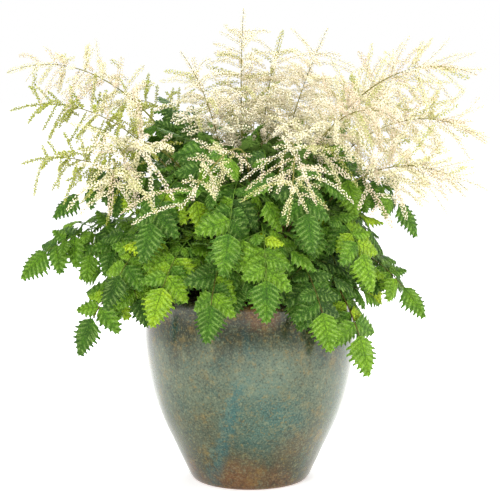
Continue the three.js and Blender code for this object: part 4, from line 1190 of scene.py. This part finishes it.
def add_florets(body, line, measures, tints, numbers, pattern):
    """Adds the florets round a line of points, set in a spiral and smaller to both ends."""
    (radius, spacing, width), (points, levels, faces) = measures, pattern
    lengths = distances_to(line)
    count = max(4, int(lengths[-1] / spacing))
    share = 0.05 + 0.95 * (np.arange(count) + numbers.uniform(0.2, 0.8, count)) / count

    def along(values):
        return np.stack([np.interp(share * lengths[-1], lengths, axis) for axis in values.T], axis=1)

    def aside(directions, *slant):
        side = unit(cross(directions, np.broadcast_to(vector(*slant), directions.shape)))
        return side, cross(directions, side)

    tangent = unit(along(unit(np.gradient(line, axis=0))))
    side, up = aside(tangent, 0.37, 0.21, 0.9)
    turn = GOLDEN_ANGLE * np.arange(count) + numbers.uniform(-FLORET_TURN, FLORET_TURN, count)
    turn = np.radians(turn)[:, None]
    outward = side * np.cos(turn) + up * np.sin(turn)
    taper = np.clip((1.03 - share) / 0.12, 0.35, 1) * np.clip(share / 0.1, 0.5, 1)
    facing = unit(outward + tangent * numbers.uniform(*FLORET_LEANS, count)[:, None])
    size = width * (0.55 + 0.45 * taper) * numbers.uniform(*FLORET_SIZES, count)
    depth = (radius - FLORET_SINK) * taper * numbers.uniform(*FLORET_DEPTHS, count)
    centre = along(line) + outward * depth[:, None]
    tint = numbers.uniform(*tints) * (YOUNG_TINT if numbers.uniform() < YOUNG_SPIKES else 1)
    marks = np.zeros((count, len(points), 3))
    marks[..., 0] = np.clip(tint + numbers.uniform(-TINT_JITTER, TINT_JITTER, count), 0, 1)[:, None]
    marks[..., 1] = levels
    spin = numbers.uniform(0, 2 * np.pi, count)[:, None]
    side, up = aside(facing, 0.21, 0.43, 0.88)
    side = side * np.cos(spin) + up * np.sin(spin)
    frames = np.stack([side, cross(facing, side), facing], axis=1) * size[:, None, None]
    spots = np.einsum("pk,nkc->npc", points, frames) + centre[:, None]
    offsets = np.arange(count)[:, None, None] * len(points)
    body.add(spots.reshape(-1, 3), (faces + offsets).reshape(-1, 3), marks.reshape(-1, 3))


def add_plume(body, flower):
    numbers = np.random.default_rng(FLORET_SEED + flower.index)
    curve = flower.curve
    axis = curve.line(np.linspace(flower.along(curve, 0), curve.total, STALK_POINTS))
    add_tube(body, axis, AXIS_RADII, 6, AXIS_MARK)
    pattern, tints = (BEAD, BUD_TINT) if flower.budding else (STAR, FLORET_TINT)
    # Upright plumes in the middle of the cloud are painted paler: painted light against their shade
    if flower.index in UPRIGHT_PLUMES:
        tints = UPRIGHT_TINT
    spikes = [(spike.at(np.linspace(0, 1, 7)), spike.radius) for spike in flower.spikes]
    for line, radius in [*spikes, (axis[14:], FLORET_REACH)]:
        add_tube(body, line, SPIKE_RADII, 3, SPIKE_MARK)
        if flower.budding:
            measures = BUD_SPIKE
        elif flower.index in LOOSE_PLUMES:
            measures = LOOSE_SPIKE
        else:
            measures = MAIN_SPIKE if radius == FLORET_REACH else FILL_SPIKE
        add_florets(body, line, measures, tints, numbers, pattern)


# Tint of a leaflet: darkest inside the plant and paler outward, which is painted shade inside the plant; a
# few young ones paler still
TINT_FROM, TINT_REACH, TINT_INSIDE, TINT_OUTWARD = 120, 220, 0.2, 0.24
YOUNG_LEAFLETS, YOUNG_LIFT, LEAFLET_SPREAD, LEAF_SPREAD = 0.07, 0.4, 0.13, 0.12


def leaf_tint(leaflet, numbers):
    # Leaflets nearer the middle of the plant get a darker tint: painted shade
    outward = np.clip((math.hypot(leaflet.root[0], leaflet.root[1]) - TINT_FROM) / TINT_REACH, 0, 1)
    young = YOUNG_LIFT if numbers.uniform() < YOUNG_LEAFLETS else 0
    tint_with_painted_shade = TINT_INSIDE + TINT_OUTWARD * outward + numbers.normal(0, LEAFLET_SPREAD)
    return float(np.clip(tint_with_painted_shade + young, 0, 1))


def add_leaf(body, leaf):
    numbers, jitter = np.random.default_rng(TINT_SEED + leaf.index), jitter_of(BLADE_SEED + leaf.index)
    add_tube(body, leaf.curve.line(np.linspace(0, leaf.curve.total, 26)), RACHIS_RADII, 6, STALK_MARK)
    for pinna in leaf.pinnae:
        line = np.array([pinna.at(distance)[0] for distance in np.linspace(0, pinna.long, 6)])
        add_tube(body, line, PINNA_RADII, 5, STALK_MARK)
    shade = numbers.normal(0, LEAF_SPREAD)
    for leaflet in leaf.leaflets:
        add_leaflet(body, leaflet, leaf_tint(leaflet, numbers) + shade, jitter)


def own(piece, node):
    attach(piece, "root")
    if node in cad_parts:
        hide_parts(node)


leaf_green, cream, stem_green = leaf_material(), floret_material(), stem_material()
own(pot(glaze_material()), "pot")
own(soil(soil_material()), "potting_soil")
for leaf in leaves:
    body = Body()
    add_leaf(body, leaf)
    name = f"{leaf.index + 1:02d}"
    own(body.made("foliage_" + name, leaf_green, lambda marks: marks[:, 1] == 1), "leaf_" + name)
for flower in flowers:
    name = f"{flower.index + 1 - flower.budding * len(PLUMES):02d}"
    stem_line = flower.curve.line(np.linspace(0, flower.along(flower.curve, 0), STALK_POINTS))
    stem, plume = Body(), Body()
    if flower.budding:
        add_tube(plume, stem_line, BUD_STEM_RADII, 6, AXIS_MARK)
        add_plume(plume, flower)
        own(plume.made("buds_" + name, cream), "budding_plume_" + name)
    else:
        add_tube(stem, stem_line, STEM_RADII, 8, (0, 0, 0))
        add_plume(plume, flower)
        own(stem.made("stalk_" + name, stem_green), "flower_stem_" + name)
        own(plume.made("florets_" + name, cream), "flower_plume_" + name)


# Floor, light and camera, in metres and degrees
LENS, SENSOR = 107.0, 36.0
VIEW_FROM, VIEW_DOWN = (0, -2.6, 0.72), 6.9
FLOOR_REACH, FLOOR_LEVEL = 30, -0.0005


def floor():
    s = Shader(bpy.data.materials.new("floor"))
    shade = s.noise(2.0, 2.0)
    pale = s.mix(shade, (0.99, 0.99, 0.99, 1), (1, 1, 1, 1))
    # The floor glows to stay white; its glow is dimmed near the pot, painted shade round the foot
    from_pot = s.node("VectorMath", {0: s.place()}, operation="LENGTH").outputs["Value"]
    glow_and_painted_shade = {"Emission_Color": s.range(from_pot, 0.1, 0.9, 0.6, 1.0), "Emission_Strength": 0.74}
    material = s.finish(Base_Color=pale, Roughness=0.9, Specular_IOR_Level=0.0, **glow_and_painted_shade)
    mesh = bpy.data.meshes.new("floor")
    signs = ((-1, -1), (1, -1), (1, 1), (-1, 1))
    corners = [(a * FLOOR_REACH, b * FLOOR_REACH, FLOOR_LEVEL) for a, b in signs]
    mesh.from_pydata(corners, [], [(0, 1, 2, 3)])
    mesh.materials.append(material)
    plane = linked("floor", mesh)


def softbox(name, place, target, width, height, power):
    light = bpy.data.lights.new(name, "AREA")
    light.shape = "RECTANGLE"
    light.size, light.size_y, light.energy = width, height, power
    lamp = linked(name, light)
    ahead = unit(vector(*target) - vector(*place))
    right = unit(cross(ahead, vector(0, 0, 1)))
    up = cross(right, ahead)
    lamp.location = place
    lamp.rotation_mode = "XYZ"
    lamp.rotation_euler = Matrix([right, up, -ahead]).transposed().to_euler()


def camera():
    data = bpy.data.cameras.new("camera")
    data.lens, data.sensor_width = LENS, SENSOR
    viewer = linked("camera", data)
    viewer.location = VIEW_FROM
    viewer.rotation_euler = (math.radians(90 - VIEW_DOWN), 0, 0)
    bpy.context.scene.camera = viewer


def studio():
    """White all round at eye level, darker overhead."""
    s = Shader(bpy.data.worlds.new("studio"))
    up = s.node("SeparateXYZ", {0: s.node("TexCoord").outputs["Generated"]}).outputs[2]
    strength = s.range(up, 0.22, 0.45, 1.0, 0.42, "LINEAR")
    background = s.node("Background", {"Color": (1, 1, 1, 1), "Strength": strength})
    s.node("OutputWorld", {"Surface": background.outputs[0]})
    bpy.context.scene.world = s.owner


floor()
studio()
softbox("key", (-1.3, -2.6, 2.0), (0, 0, 0.5), 1.6, 1.6, 56)
softbox("overhead", (0.5, -0.3, 2.8), (0, 0, 0.4), 1.8, 1.8, 64)
softbox("low_right", (2.4, -0.5, 0.6), (0, 0, 0.3), 2.2, 0.9, 22)
softbox("back", (0.2, 2.0, 2.0), (0, 0, 0.6), 1.8, 1.2, 32)
camera()
bpy.context.scene.view_settings.view_transform = "Standard"
